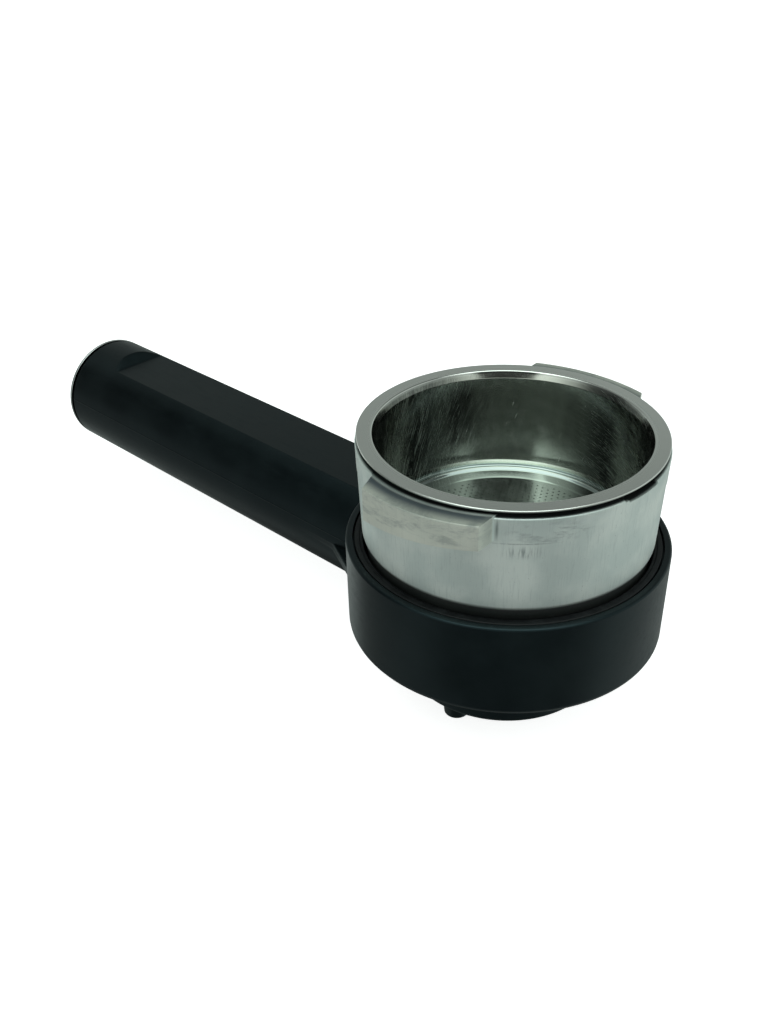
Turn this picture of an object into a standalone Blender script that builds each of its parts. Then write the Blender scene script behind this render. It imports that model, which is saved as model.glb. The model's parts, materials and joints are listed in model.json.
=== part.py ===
"""Portafilter with a removable pressurised filter basket, built as an assembly of separate pieces.

Frame: metres, +Z up along the cup's axis, the handle along -X. The origin is the centre of the
spout plate's flat underside. Every constant below is in millimetres and degrees, and the helper
functions turn them into metres. Pieces that touch in the real object keep the gap TOUCH.
"""

import math

import bmesh
import bpy
from mathutils import Matrix, Vector

MM = 0.001
TOUCH = 0.3

# Levels on the cup's axis
RIM_TOP = 54.0
CUP_SHOULDER = 52.55
SKIRT_TOP = 31.37
SKIRT_BOTTOM = 11.4
HANDLE_AXIS = 19.13
NOZZLE_TIP = -5.6

# Filter basket: the usual 51 mm pressing
BASKET_BORE_R = 25.6
BASKET_SHEET = 0.5
FLANGE_R = 29.2
FLANGE_BEND_R = 0.3
MOUTH_FLARE = 0.6
MOUTH_FLARE_DEPTH = 1.5
BASKET_FLOOR = 32.0
FLOOR_BEND_R = 1.2
SIEVE_RINGS = 2
SIEVE_PITCH = 7.5
SIEVE_HOLE_R = 0.45
SIEVE_HOLE_SIDES = 5
BASE_CAP_R = 23.0
BASE_CAP_HOLE_R = 0.5
BASE_CAP_SHEET = 0.4
BASE_CAP_HEIGHT = 0.8
BASE_CAP_RIM = 1.0

# Die-cast cup
CUP_BORE_R = 26.5
CUP_TOP_R = 29.45
CUP_WAIST_R = 28.42
CUP_WAIST = 33.6
CUP_FOOT_R = 27.3
CUP_UNDERSIDE = 27.2
CUP_FLOOR = 29.6
DRAIN_R = 4.5
CUP_EDGE_R = 0.35
LIP_OUTER_R = 28.1
LIP_HEIGHT = 0.25
NOTCH_HALF_ANGLE = 8.5
NOTCH_DEPTH = 0.6
SPOUT_BOSS_R = 4.2
SKIRT_BOSS_R = 3.0
BOSS_LIFT = 0.55
SPOUT_BORE_TOP = 23.5
SKIRT_BORE_TOP = 23.0
STUB_WEB = (-26.0, -12.5)
STUB_WEB_HALF_WIDTH = 3.6

# Bayonet lugs: wedge-shaped in plan, with sloping faces
LUG_R = 33.3
LUG_CENTRES = (-81.0, 99.0)
LUG_TIP_ANGLES = (-21.5, 20.5)
LUG_ROOT_ANGLES = (-29.0, 25.0)
LUG_TOP = (52.4, 53.0)
LUG_UNDERSIDE = (45.9, 48.0)
LUG_STEPS = 10
LUG_EDGE = 0.3

# Spring wire that grips the basket
WIRE_R = 0.5
WIRE_RING_R = 26.95
WIRE_LEVEL = 47.0
WIRE_ARC = 322.0
WIRE_SIDES = 6
WIRE_GROOVE_R = 27.8
WIRE_GROOVE_ROOM = 0.35

# Plastic skirt round the cup's foot
SKIRT_TOP_R = 31.76
SKIRT_BOTTOM_R = 31.44
SKIRT_INNER_R = 29.3
SKIRT_PLATE = 1.6
SKIRT_MOUTH_R = 28.3
SEAL_SEAT_R = 30.3
SEAL_SEAT = 29.9
SEAL_SEAT_LEDGE = 2.0
SEAL_BELOW_RIM = 0.1

# Spout
SPOUT_R = 20.1
SPOUT_CAVITY_R = 17.4
SPOUT_WALL = 2.2
SPOUT_DRUM_BOTTOM = 4.4
INLET_R = 6.5
INLET_WALL = 2.0
INLET_TOP = 25.8
PLATE_THICKNESS = 3.0
PLATE_RIM_TOP = 5.6
NOZZLE_Y = 14.0
NOZZLE_ROOT_R = 2.95
NOZZLE_TIP_R = 2.5
NOZZLE_BORE_R = 1.5
PLATE_WEB = 2.4
PLATE_RIM_WALL = 1.3
PILLAR_R = 3.6
SPOUT_SCREW_X = 13.0
SPOUT_SCREW_R = 1.75
SPOUT_HEAD_R = 3.3
SPOUT_HEAD = (0.1, 1.2)
SPOUT_RECESS_R = 3.7
SPOUT_RECESS_DEPTH = 1.5
SKIRT_SCREW_AT_R = 24.0
SKIRT_SCREW_ANGLES = (-60.0, 60.0)
SKIRT_SCREW_R = 1.3
SKIRT_HEAD_R = 2.7
SKIRT_HEAD_HEIGHT = 1.4
SCREW_TIP = 22.0

# Handle
GRIP_R = 13.29
GRIP_END = -133.45
GRIP_FRONT = -24.0
GRIP_FLAT = HANDLE_AXIS + 11.35
GRIP_FLAT_END = -120.46
FLAT_RUN_OUT = (3.4, 1.94)
GRIP_HOLLOW_R = 9.0
GRIP_SEAT = -45.0
GRIP_SEAT_THICKNESS = 4.0
SADDLE_R = SKIRT_TOP_R + TOUCH
GUSSET_TIP = (-36.8, 13.2)
GUSSET_ROOT = (-24.6, 19.1)
GUSSET_TOP = 19.2
GUSSET_THICKNESS = 2.0
GUSSET_SUNK = 0.7
BOSS_R = 5.0
BOSS_TIP = -40.0
BOSS_ROOT = -11.5
INSERT_R = 3.3
INSERT_SPAN = (-39.0, -28.0)
BOLT_R = 2.4
BOLT_END = -23.0
BOLT_HEAD_R = 4.25
BOLT_HEAD_LENGTH = 4.0
WASHER_THICKNESS = 0.8
LOCK_WASHER_THICKNESS = 1.0
LOCK_WASHER_ARC = 345.0
WASHER_R = 5.5
SOCKET_R = 2.3
SOCKET_DEPTH = 2.4
SOCKET_SIDES = 6
PLUG_R = 11.9
PLUG_FLANGE = 2.4
PLUG_WALL = 1.6
PLUG_END = -121.0
CAP_R = 13.29
CAP_END = -135.4
CAP_THICKNESS = 1.0
CAP_EDGE_R = 0.5
CAP_STUD_R = 1.8
CAP_STUD_END = -125.5
RETAINER_R = 5.2
RETAINER_SHEET = 0.5
RETAINER_RISE = 0.7

BIG_ROUND = 48
MIDDLE_ROUND = 40
SMALL_ROUND = 16
HOLE_ROUND = 12
SHARP_ANGLE = 30.0
PAST = 1.0
WELD = 1e-4


# ---------------------------------------------------------------- outlines


def rounded(corners, steps=2):
    """A closed outline from (a, b) or (a, b, radius) corners, with each radius as an arc."""
    outline = []
    for i, corner in enumerate(corners):
        here = Vector(corner[:2])
        radius = corner[2] if len(corner) > 2 else 0.0
        if radius == 0.0:
            outline.append(tuple(here))
            continue
        back = (Vector(corners[i - 1][:2]) - here).normalized()
        ahead = (Vector(corners[(i + 1) % len(corners)][:2]) - here).normalized()
        half = back.angle(ahead) / 2
        centre = here + (back + ahead).normalized() * (radius / math.sin(half))
        first = here + back * (radius / math.tan(half)) - centre
        last = here + ahead * (radius / math.tan(half)) - centre
        turn = -first.angle_signed(last)
        for k in range(steps + 1):
            spoke = first.copy()
            spoke.rotate(Matrix.Rotation(turn * k / steps, 2))
            outline.append(tuple(centre + spoke))
    return outline


def on_circle(radius, angle):
    """The point at an angle in degrees on a circle round the cup's axis."""
    return radius * math.cos(math.radians(angle)), radius * math.sin(math.radians(angle))


# ---------------------------------------------------------------- solids


def add_object(name, mesh_edit, material, cutter=False):
    """A named object from a bmesh in millimetres. A cutter is only a Boolean's operand."""
    bmesh.ops.remove_doubles(mesh_edit, verts=mesh_edit.verts, dist=WELD)
    bmesh.ops.recalc_face_normals(mesh_edit, faces=mesh_edit.faces)
    bmesh.ops.scale(mesh_edit, verts=mesh_edit.verts, vec=(MM, MM, MM))
    mesh = bpy.data.meshes.new(name)
    mesh_edit.to_mesh(mesh)
    mesh_edit.free()
    mesh.shade_smooth()
    mesh.set_sharp_from_angle(angle=math.radians(SHARP_ANGLE))
    mesh.materials.append(material)
    piece = bpy.data.objects.new(name, mesh)
    bpy.context.scene.collection.objects.link(piece)
    if cutter:
        piece.hide_render = True
        piece.display_type = "WIRE"
    return piece


def lathe(outline, segments, angle=360.0):
    """A bmesh of the (radius, height) outline spun about Z, each flat end one whole face."""
    mesh_edit = bmesh.new()
    corners = [mesh_edit.verts.new((r, 0.0, z)) for r, z in outline]
    loop = corners + corners[:1]
    edges = [mesh_edit.edges.new(pair) for pair in zip(loop, loop[1:])]
    whole = angle == 360.0
    if not whole:
        mesh_edit.faces.new(corners)
    bmesh.ops.spin(
        mesh_edit,
        geom=corners + edges + list(mesh_edit.faces),
        cent=(0, 0, 0),
        axis=(0, 0, 1),
        angle=math.radians(angle),
        steps=segments,
        use_merge=whole,
    )
    bmesh.ops.remove_doubles(mesh_edit, verts=mesh_edit.verts, dist=WELD)
    hubs = [vert for vert in mesh_edit.verts if vert.co.xy.length < WELD]
    bmesh.ops.dissolve_verts(mesh_edit, verts=hubs)
    return mesh_edit


def stand(mesh_edit, at=(0.0, 0.0)):
    """Moves a solid turned about Z to stand at the point (x, y)."""
    bmesh.ops.translate(mesh_edit, verts=mesh_edit.verts, vec=(at[0], at[1], 0.0))
    return mesh_edit


def lay(mesh_edit):
    """Lays a solid turned about Z along the handle: its height becomes X."""
    turn = Matrix(((0, 0, 1), (0, 1, 0), (-1, 0, 0))).to_4x4()
    bmesh.ops.transform(mesh_edit, matrix=turn, verts=mesh_edit.verts)
    bmesh.ops.translate(mesh_edit, verts=mesh_edit.verts, vec=(0, 0, HANDLE_AXIS))
    return mesh_edit


def tube_outline(inner, outer, low, high):
    """The outline of a plain ring, or of a plain cylinder when inner is 0."""
    return [(inner, low), (outer, low), (outer, high), (inner, high)]


def prism(outline, low, high):
    """A bmesh of an (x, y) outline raised from low to high."""
    mesh_edit = bmesh.new()
    base = mesh_edit.faces.new([mesh_edit.verts.new((x, y, low)) for x, y in outline])
    top = bmesh.ops.extrude_face_region(mesh_edit, geom=[base])
    risen = [item for item in top["geom"] if isinstance(item, bmesh.types.BMVert)]
    bmesh.ops.translate(mesh_edit, verts=risen, vec=(0, 0, high - low))
    return mesh_edit


def across(outline, half_width):
    """A bmesh of an (x, z) outline that reaches half_width to each side of the handle's line."""
    mesh_edit = prism(outline, -half_width, half_width)
    turn = Matrix.Rotation(math.radians(90.0), 3, "X")
    bmesh.ops.rotate(mesh_edit, verts=mesh_edit.verts, matrix=turn)
    return mesh_edit


def block(span, levels):
    """The (x, z) outline of a rectangle."""
    return [(x, z) for z, ends in zip(levels, (span, span[::-1])) for x in ends]


def merged(solids):
    """One bmesh that holds several separate solids."""
    together = bmesh.new()
    for solid in solids:
        spare = bpy.data.meshes.new("spare")
        solid.to_mesh(spare)
        solid.free()
        together.from_mesh(spare)
        bpy.data.meshes.remove(spare)
    return together


def combine(piece, solids, operation):
    """Adds solids to a piece, or cuts them from it, one Boolean for each."""
    for i, solid in enumerate(solids):
        name = f"{piece.name}_{operation.lower()}_{len(piece.modifiers)}_{i}"
        tool = add_object(name, solid, piece.data.materials[0], cutter=True)
        change = piece.modifiers.new(name, "BOOLEAN")
        change.operation = operation
        change.solver = "EXACT"
        change.object = tool


# ---------------------------------------------------------------- finishes


def finish(name, colour, roughness, metallic):
    """A Principled material."""
    material = bpy.data.materials.new(name)
    material.use_nodes = True
    shader = material.node_tree.nodes["Principled BSDF"]
    shader.inputs["Base Color"].default_value = (*colour, 1.0)
    shader.inputs["Roughness"].default_value = roughness
    shader.inputs["Metallic"].default_value = metallic
    return material


def make_finishes():
    """Every finish by its name."""
    return {
        "cast_aluminium": finish("cast_aluminium", (0.62, 0.64, 0.63), 0.38, 1.0),
        "stainless": finish("stainless", (0.60, 0.61, 0.59), 0.18, 1.0),
        "spring_steel": finish("spring_steel", (0.45, 0.45, 0.44), 0.30, 1.0),
        "zinc_steel": finish("zinc_steel", (0.55, 0.55, 0.53), 0.35, 1.0),
        "brass": finish("brass", (0.72, 0.53, 0.25), 0.30, 1.0),
        "black_plastic": finish("black_plastic", (0.018, 0.020, 0.021), 0.42, 0.0),
        "black_rubber": finish("black_rubber", (0.015, 0.015, 0.015), 0.75, 0.0),
        "silicone": finish("silicone", (0.55, 0.16, 0.10), 0.60, 0.0),
        "chrome": finish("chrome", (0.80, 0.81, 0.80), 0.08, 1.0),
    }


# ---------------------------------------------------------------- basket


def make_basket_shell(finishes):
    """The pressed basket: a flat flange, a straight wall and a floor full of fine holes."""
    outer_r = BASKET_BORE_R + BASKET_SHEET
    flange_bottom = RIM_TOP - BASKET_SHEET
    outline = rounded(
        [
            (0.0, BASKET_FLOOR),
            (BASKET_BORE_R, BASKET_FLOOR, FLOOR_BEND_R),
            (BASKET_BORE_R, RIM_TOP - MOUTH_FLARE_DEPTH),
            (BASKET_BORE_R + MOUTH_FLARE, RIM_TOP, FLANGE_BEND_R),
            (FLANGE_R, RIM_TOP, BASKET_SHEET / 3),
            (FLANGE_R, flange_bottom, BASKET_SHEET / 3),
            (outer_r + MOUTH_FLARE / 2, flange_bottom),
            (outer_r, flange_bottom - MOUTH_FLARE_DEPTH),
            (outer_r, BASKET_FLOOR - BASKET_SHEET, FLOOR_BEND_R + BASKET_SHEET),
            (0.0, BASKET_FLOOR - BASKET_SHEET),
        ]
    )
    shell = add_object("basket_shell", lathe(outline, BIG_ROUND), finishes["stainless"])
    hole = tube_outline(0.0, SIEVE_HOLE_R, BASKET_FLOOR - 2 * BASKET_SHEET, BASKET_FLOOR + PAST)
    places = [(0.0, 0.0)]
    for ring in range(1, SIEVE_RINGS + 1):
        count = 6 * ring
        places += [on_circle(ring * SIEVE_PITCH, 360.0 * k / count) for k in range(count)]
    holes = [stand(lathe(hole, SIEVE_HOLE_SIDES), at) for at in places]
    combine(shell, [merged(holes)], "DIFFERENCE")


def make_basket_base_cap(finishes):
    """The cap under the floor, whose one small outlet builds the brewing pressure."""
    top = BASKET_FLOOR - BASKET_SHEET - TOUCH
    bottom = top - BASE_CAP_HEIGHT
    outline = [
        (BASE_CAP_HOLE_R, bottom),
        (BASE_CAP_R, bottom),
        (BASE_CAP_R, top),
        (BASE_CAP_R - BASE_CAP_RIM, top),
        (BASE_CAP_R - BASE_CAP_RIM, bottom + BASE_CAP_SHEET),
        (BASE_CAP_HOLE_R, bottom + BASE_CAP_SHEET),
    ]
    add_object("basket_base_cap", lathe(outline, MIDDLE_ROUND), finishes["stainless"])


def make_retaining_spring(finishes):
    """The open wire ring in the cup's groove."""
    circle = [
        (WIRE_RING_R + WIRE_R * math.cos(a), WIRE_LEVEL + WIRE_R * math.sin(a))
        for a in (math.tau * k / WIRE_SIDES for k in range(WIRE_SIDES))
    ]
    ring = lathe(circle, MIDDLE_ROUND, WIRE_ARC)
    turn = Matrix.Rotation(math.radians(-WIRE_ARC / 2), 3, "Z")
    bmesh.ops.rotate(ring, verts=ring.verts, matrix=turn)
    add_object("retaining_spring", ring, finishes["spring_steel"])


# ---------------------------------------------------------------- cup


def swept_lug(centre, section):
    """A solid swept along a lug, from its low end to its high one.

    section(top, under) gives (radius, height, share) corners. The share says how far a corner's
    angle lies from the lug's root angle towards its tip angle.
    """
    mesh_edit = bmesh.new()
    rings = []
    for k in range(LUG_STEPS + 1):
        t = k / LUG_STEPS
        tip, root, top, under = (
            low + t * (high - low)
            for low, high in (LUG_TIP_ANGLES, LUG_ROOT_ANGLES, LUG_TOP, LUG_UNDERSIDE)
        )
        ring = []
        for radius, height, share in section(top, under):
            angle = centre + root + share * (tip - root)
            ring.append(mesh_edit.verts.new((*on_circle(radius, angle), height)))
        rings.append(ring)
    for here, there in zip(rings, rings[1:]):
        for i in range(len(here)):
            j = (i + 1) % len(here)
            mesh_edit.faces.new((here[i], here[j], there[j], there[i]))
    mesh_edit.faces.new(rings[0])
    mesh_edit.faces.new(rings[-1])
    return mesh_edit


def lug(centre):
    """One bayonet lug, left too high: lug_top_cut brings its top down."""
    root_r = CUP_TOP_R - 1.0

    def section(top, under):
        high = top + 2 * CUP_EDGE_R
        return [(root_r, under, 0.0), (LUG_R, under, 1.0), (LUG_R, high, 1.0), (root_r, high, 0.0)]

    return swept_lug(centre, section)


def lug_top_cut(centre):
    """What is cut away to leave one sloping top across a lug and the shoulder behind it."""
    past_root, past_tip = -0.15, 0.85

    def section(top, _under):
        return [
            (LIP_OUTER_R, top, past_root),
            (LUG_R - LUG_EDGE, top, past_tip),
            (LUG_R + PAST, top - LUG_EDGE, past_tip),
            (LUG_R + PAST, RIM_TOP + PAST, past_tip),
            (LIP_OUTER_R, RIM_TOP + PAST, past_root),
        ]

    return swept_lug(centre, section)


def pry_notch():
    """The shallow gap in the rim, opposite the handle, for lifting the basket out."""
    outline = [on_circle(CUP_BORE_R - 1.5, a) for a in (-NOTCH_HALF_ANGLE, NOTCH_HALF_ANGLE)]
    outline += [on_circle(CUP_TOP_R + 1.5, a) for a in (NOTCH_HALF_ANGLE, -NOTCH_HALF_ANGLE)]
    return prism(outline, CUP_SHOULDER - NOTCH_DEPTH, RIM_TOP)


def make_cup(finishes):
    """The die-cast cup with its lugs, its bosses and the stub that carries the handle."""
    lip_top = CUP_SHOULDER + LIP_HEIGHT
    groove_half = WIRE_R + WIRE_GROOVE_ROOM
    groove = (WIRE_LEVEL - groove_half, WIRE_LEVEL + groove_half)
    outline = rounded(
        [
            (DRAIN_R, CUP_UNDERSIDE),
            (CUP_FOOT_R, CUP_UNDERSIDE, 1.5),
            (CUP_FOOT_R + 0.4, SKIRT_TOP - 0.4),
            (CUP_WAIST_R, CUP_WAIST, 1.5),
            (CUP_TOP_R, CUP_SHOULDER, CUP_EDGE_R),
            (LIP_OUTER_R + 0.45, CUP_SHOULDER),
            (LIP_OUTER_R, lip_top),
            (CUP_BORE_R, lip_top, 0.2),
            (CUP_BORE_R, groove[1]),
            (WIRE_GROOVE_R, groove[1]),
            (WIRE_GROOVE_R, groove[0]),
            (CUP_BORE_R, groove[0]),
            (CUP_BORE_R, CUP_FLOOR, 0.8),
            (DRAIN_R, CUP_FLOOR - 0.4),
        ],
        steps=2,
    )
    cup = add_object("filter_holder_cup", lathe(outline, BIG_ROUND), finishes["cast_aluminium"])
    inside_floor = CUP_UNDERSIDE + 1.0
    boss_foot = SKIRT_BOTTOM + SKIRT_PLATE + BOSS_LIFT
    spout_boss = tube_outline(0.0, SPOUT_BOSS_R, boss_foot, inside_floor)
    skirt_boss = tube_outline(0.0, SKIRT_BOSS_R, boss_foot, inside_floor)
    screw_places = [on_circle(SKIRT_SCREW_AT_R, angle) for angle in SKIRT_SCREW_ANGLES]
    additions = [lug(centre) for centre in LUG_CENTRES]
    additions.append(lay(lathe(tube_outline(0.0, BOSS_R, BOSS_TIP, BOSS_ROOT), SMALL_ROUND)))
    additions.append(across(block(STUB_WEB, (HANDLE_AXIS, inside_floor)), STUB_WEB_HALF_WIDTH))
    for side in (-1, 1):
        additions.append(stand(lathe(spout_boss, SMALL_ROUND), (side * SPOUT_SCREW_X, 0.0)))
    additions += [stand(lathe(skirt_boss, SMALL_ROUND), at) for at in screw_places]
    combine(cup, additions, "UNION")
    spout_bore = tube_outline(0.0, SPOUT_SCREW_R + TOUCH, boss_foot - PAST, SPOUT_BORE_TOP)
    skirt_bore = tube_outline(0.0, SKIRT_SCREW_R + TOUCH, boss_foot - PAST, SKIRT_BORE_TOP)
    insert_bore = tube_outline(0.0, INSERT_R + TOUCH, BOSS_TIP - PAST, INSERT_SPAN[1] + TOUCH)
    bolt_bore = tube_outline(0.0, BOLT_R + TOUCH, INSERT_SPAN[1] - PAST, BOLT_END + 2 * PAST)
    cuts = [lug_top_cut(centre) for centre in LUG_CENTRES] + [pry_notch()]
    for side in (-1, 1):
        cuts.append(stand(lathe(spout_bore, HOLE_ROUND), (side * SPOUT_SCREW_X, 0.0)))
    cuts += [stand(lathe(skirt_bore, HOLE_ROUND), at) for at in screw_places]
    cuts += [lay(lathe(insert_bore, SMALL_ROUND)), lay(lathe(bolt_bore, SMALL_ROUND))]
    combine(cup, cuts, "DIFFERENCE")


# ---------------------------------------------------------------- skirt and spout


def make_skirt(finishes):
    """The moulded shell that covers the cup's foot and carries the seal ring in its mouth."""
    plate_top = SKIRT_BOTTOM + SKIRT_PLATE
    inlet_hole_r = INLET_R + INLET_WALL + TOUCH
    outline = rounded(
        [
            (inlet_hole_r, SKIRT_BOTTOM),
            (SKIRT_BOTTOM_R, SKIRT_BOTTOM, 1.6),
            (SKIRT_TOP_R, SKIRT_TOP, 0.9),
            (SEAL_SEAT_R, SKIRT_TOP),
            (SEAL_SEAT_R, SEAL_SEAT),
            (SKIRT_MOUTH_R, SEAL_SEAT),
            (SKIRT_MOUTH_R, SEAL_SEAT - SEAL_SEAT_LEDGE),
            (SKIRT_INNER_R, SEAL_SEAT - SEAL_SEAT_LEDGE - PAST),
            (SKIRT_INNER_R, plate_top, 1.0),
            (inlet_hole_r, plate_top),
        ]
    )
    skirt = add_object("lower_skirt", lathe(outline, BIG_ROUND), finishes["black_plastic"])
    neck = tube_outline(0.0, BOSS_R + TOUCH, -SKIRT_TOP_R - PAST, -SKIRT_INNER_R + 3 * PAST)
    spout_hole = tube_outline(0.0, SPOUT_SCREW_R + TOUCH, SKIRT_BOTTOM - PAST, plate_top + PAST)
    skirt_hole = tube_outline(0.0, SKIRT_SCREW_R + TOUCH, SKIRT_BOTTOM - PAST, plate_top + PAST)
    cuts = [lay(lathe(neck, SMALL_ROUND))]
    for side in (-1, 1):
        cuts.append(stand(lathe(spout_hole, HOLE_ROUND), (side * SPOUT_SCREW_X, 0.0)))
    for angle in SKIRT_SCREW_ANGLES:
        cuts.append(stand(lathe(skirt_hole, HOLE_ROUND), on_circle(SKIRT_SCREW_AT_R, angle)))
    combine(skirt, cuts, "DIFFERENCE")


def make_skirt_seal_ring(finishes):
    """The soft ring between the skirt's mouth and the cup."""
    outline = rounded(
        [
            (SKIRT_MOUTH_R, SEAL_SEAT + TOUCH),
            (SEAL_SEAT_R - TOUCH, SEAL_SEAT + TOUCH),
            (SEAL_SEAT_R - TOUCH, SKIRT_TOP - SEAL_BELOW_RIM, 0.3),
            (SKIRT_MOUTH_R, SKIRT_TOP - SEAL_BELOW_RIM, 0.3),
        ],
        steps=2,
    )
    add_object("skirt_seal_ring", lathe(outline, BIG_ROUND), finishes["black_rubber"])


def screw(radius, head_r, head_bottom, head_top, tip):
    """A round-headed screw, head down, with a pointed tip."""
    outline = rounded(
        [
            (0.0, head_bottom),
            (head_r, head_bottom, 0.3),
            (head_r, head_top),
            (radius, head_top),
            (radius, tip - radius),
            (0.4, tip),
            (0.0, tip),
        ],
        steps=2,
    )
    return lathe(outline, HOLE_ROUND)


def make_skirt_screws(finishes):
    """The two screws that hold the skirt up to the cup."""
    head_top = SKIRT_BOTTOM - TOUCH
    for name, angle in zip(("left", "right"), SKIRT_SCREW_ANGLES):
        head_bottom = head_top - SKIRT_HEAD_HEIGHT
        solid = screw(SKIRT_SCREW_R, SKIRT_HEAD_R, head_bottom, head_top, SCREW_TIP)
        placed = stand(solid, on_circle(SKIRT_SCREW_AT_R, angle))
        add_object(f"skirt_screw_{name}", placed, finishes["zinc_steel"])


def make_spout_housing(finishes):
    """The drum that collects the coffee and the inlet pipe that brings it from the cup."""
    drum_top = SKIRT_BOTTOM - TOUCH
    cavity_top = drum_top - SPOUT_WALL
    outline = rounded(
        [
            (INLET_R, cavity_top),
            (INLET_R, INLET_TOP),
            (INLET_R + INLET_WALL, INLET_TOP),
            (INLET_R + INLET_WALL, drum_top),
            (SPOUT_R, drum_top, 0.6),
            (SPOUT_R, SPOUT_DRUM_BOTTOM),
            (SPOUT_CAVITY_R, SPOUT_DRUM_BOTTOM),
            (SPOUT_CAVITY_R, cavity_top),
        ]
    )
    housing = add_object("spout_housing", lathe(outline, MIDDLE_ROUND), finishes["black_plastic"])
    pillar = tube_outline(0.0, PILLAR_R, PLATE_RIM_TOP + TOUCH, cavity_top + PAST)
    hole = tube_outline(0.0, SPOUT_SCREW_R + TOUCH, 0.0, drum_top + PAST)
    places = [(side * SPOUT_SCREW_X, 0.0) for side in (-1, 1)]
    combine(housing, [stand(lathe(pillar, SMALL_ROUND), at) for at in places], "UNION")
    combine(housing, [stand(lathe(hole, HOLE_ROUND), at) for at in places], "DIFFERENCE")


def make_spout_joint_seal(finishes):
    """The flat gasket between the drum and the plate."""
    outline = tube_outline(
        SPOUT_CAVITY_R + 0.1,
        SPOUT_R - TOUCH,
        PLATE_THICKNESS + TOUCH,
        SPOUT_DRUM_BOTTOM - TOUCH,
    )
    add_object("spout_joint_seal", lathe(outline, MIDDLE_ROUND), finishes["black_rubber"])


def make_spout_plate(finishes):
    """The plate that closes the drum, with a nozzle at each side of the handle's line."""
    rim_r = SPOUT_CAVITY_R - TOUCH
    outline = rounded(
        [
            (0.0, 0.0),
            (SPOUT_R, 0.0, 0.8),
            (SPOUT_R, PLATE_THICKNESS),
            (rim_r, PLATE_THICKNESS),
            (rim_r, PLATE_RIM_TOP),
            (rim_r - PLATE_RIM_WALL, PLATE_RIM_TOP),
            (rim_r - PLATE_RIM_WALL, PLATE_WEB),
            (0.0, PLATE_WEB),
        ],
        steps=3,
    )
    plate = add_object("spout_plate", lathe(outline, MIDDLE_ROUND), finishes["black_plastic"])
    nozzle = rounded(
        [
            (0.0, NOZZLE_TIP),
            (NOZZLE_TIP_R, NOZZLE_TIP, 0.5),
            (NOZZLE_ROOT_R, 0.0),
            (NOZZLE_ROOT_R, PLATE_WEB / 2),
            (0.0, PLATE_WEB / 2),
        ],
        steps=3,
    )
    bore = tube_outline(0.0, NOZZLE_BORE_R, NOZZLE_TIP - PAST, PLATE_RIM_TOP + PAST)
    nozzle_places = [(0.0, side * NOZZLE_Y) for side in (-1, 1)]
    combine(plate, [stand(lathe(nozzle, SMALL_ROUND), at) for at in nozzle_places], "UNION")
    cuts = [stand(lathe(bore, HOLE_ROUND), at) for at in nozzle_places]
    head_recess = tube_outline(0.0, SPOUT_RECESS_R, -PAST, SPOUT_RECESS_DEPTH)
    shank_hole = tube_outline(0.0, SPOUT_SCREW_R + TOUCH, 0.0, PLATE_THICKNESS + PAST)
    for side in (-1, 1):
        cuts.append(stand(lathe(head_recess, SMALL_ROUND), (side * SPOUT_SCREW_X, 0.0)))
        cuts.append(stand(lathe(shank_hole, HOLE_ROUND), (side * SPOUT_SCREW_X, 0.0)))
    combine(plate, cuts, "DIFFERENCE")


def make_spout_screws(finishes):
    """The two screws that clamp plate, drum and skirt to the cup."""
    for name, side in (("handle_side", -1), ("front", 1)):
        solid = screw(SPOUT_SCREW_R, SPOUT_HEAD_R, *SPOUT_HEAD, SCREW_TIP)
        placed = stand(solid, (side * SPOUT_SCREW_X, 0.0))
        add_object(f"spout_screw_{name}", placed, finishes["zinc_steel"])


def make_outlet_gasket(finishes):
    """The silicone ring between the cup's underside and the inlet pipe."""
    outline = tube_outline(
        INLET_R - 1.0,
        INLET_R + INLET_WALL,
        INLET_TOP + TOUCH,
        CUP_UNDERSIDE - TOUCH,
    )
    add_object("outlet_gasket", lathe(outline, MIDDLE_ROUND), finishes["silicone"])


# ---------------------------------------------------------------- handle


def make_grip(finishes):
    """The moulded grip: round, with a flat along its top and a gusset at each side of its neck."""
    plug_seat = GRIP_END + PLUG_FLANGE + TOUCH
    seat_inner = GRIP_SEAT + GRIP_SEAT_THICKNESS
    outline = rounded(
        [
            (BOSS_R + TOUCH, GRIP_FRONT),
            (GRIP_R, GRIP_FRONT),
            (GRIP_R, GRIP_END, 0.2),
            (PLUG_R + TOUCH, GRIP_END),
            (PLUG_R + TOUCH, plug_seat),
            (GRIP_HOLLOW_R, plug_seat),
            (GRIP_HOLLOW_R, GRIP_SEAT),
            (BOLT_R + TOUCH, GRIP_SEAT),
            (BOLT_R + TOUCH, seat_inner),
            (BOSS_R + TOUCH, seat_inner),
        ]
    )
    grip = add_object("handle_grip", lay(lathe(outline, MIDDLE_ROUND)), finishes["black_plastic"])
    gussets = []
    for side in (-1, 1):
        inner_y = side * (GUSSET_TIP[1] - GUSSET_SUNK)
        corners = [
            (GUSSET_TIP[0] - GUSSET_SUNK, inner_y),
            (GUSSET_ROOT[0], inner_y),
            (GUSSET_ROOT[0], side * GUSSET_ROOT[1]),
        ]
        gussets.append(prism(corners, GUSSET_TOP - GUSSET_THICKNESS, GUSSET_TOP))
    combine(grip, gussets, "UNION")
    saddle = lathe(tube_outline(0.0, SADDLE_R, -10.0, 60.0), 2 * BIG_ROUND)
    over = GRIP_FLAT + 2 * FLAT_RUN_OUT[1]
    flat_outline = [
        (GRIP_FLAT_END, GRIP_FLAT),
        (GRIP_FRONT + PAST, GRIP_FLAT),
        (GRIP_FRONT + PAST, over),
        (GRIP_FLAT_END - 2 * FLAT_RUN_OUT[0], over),
    ]
    combine(grip, [saddle, across(flat_outline, GRIP_R + PAST)], "DIFFERENCE")


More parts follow.
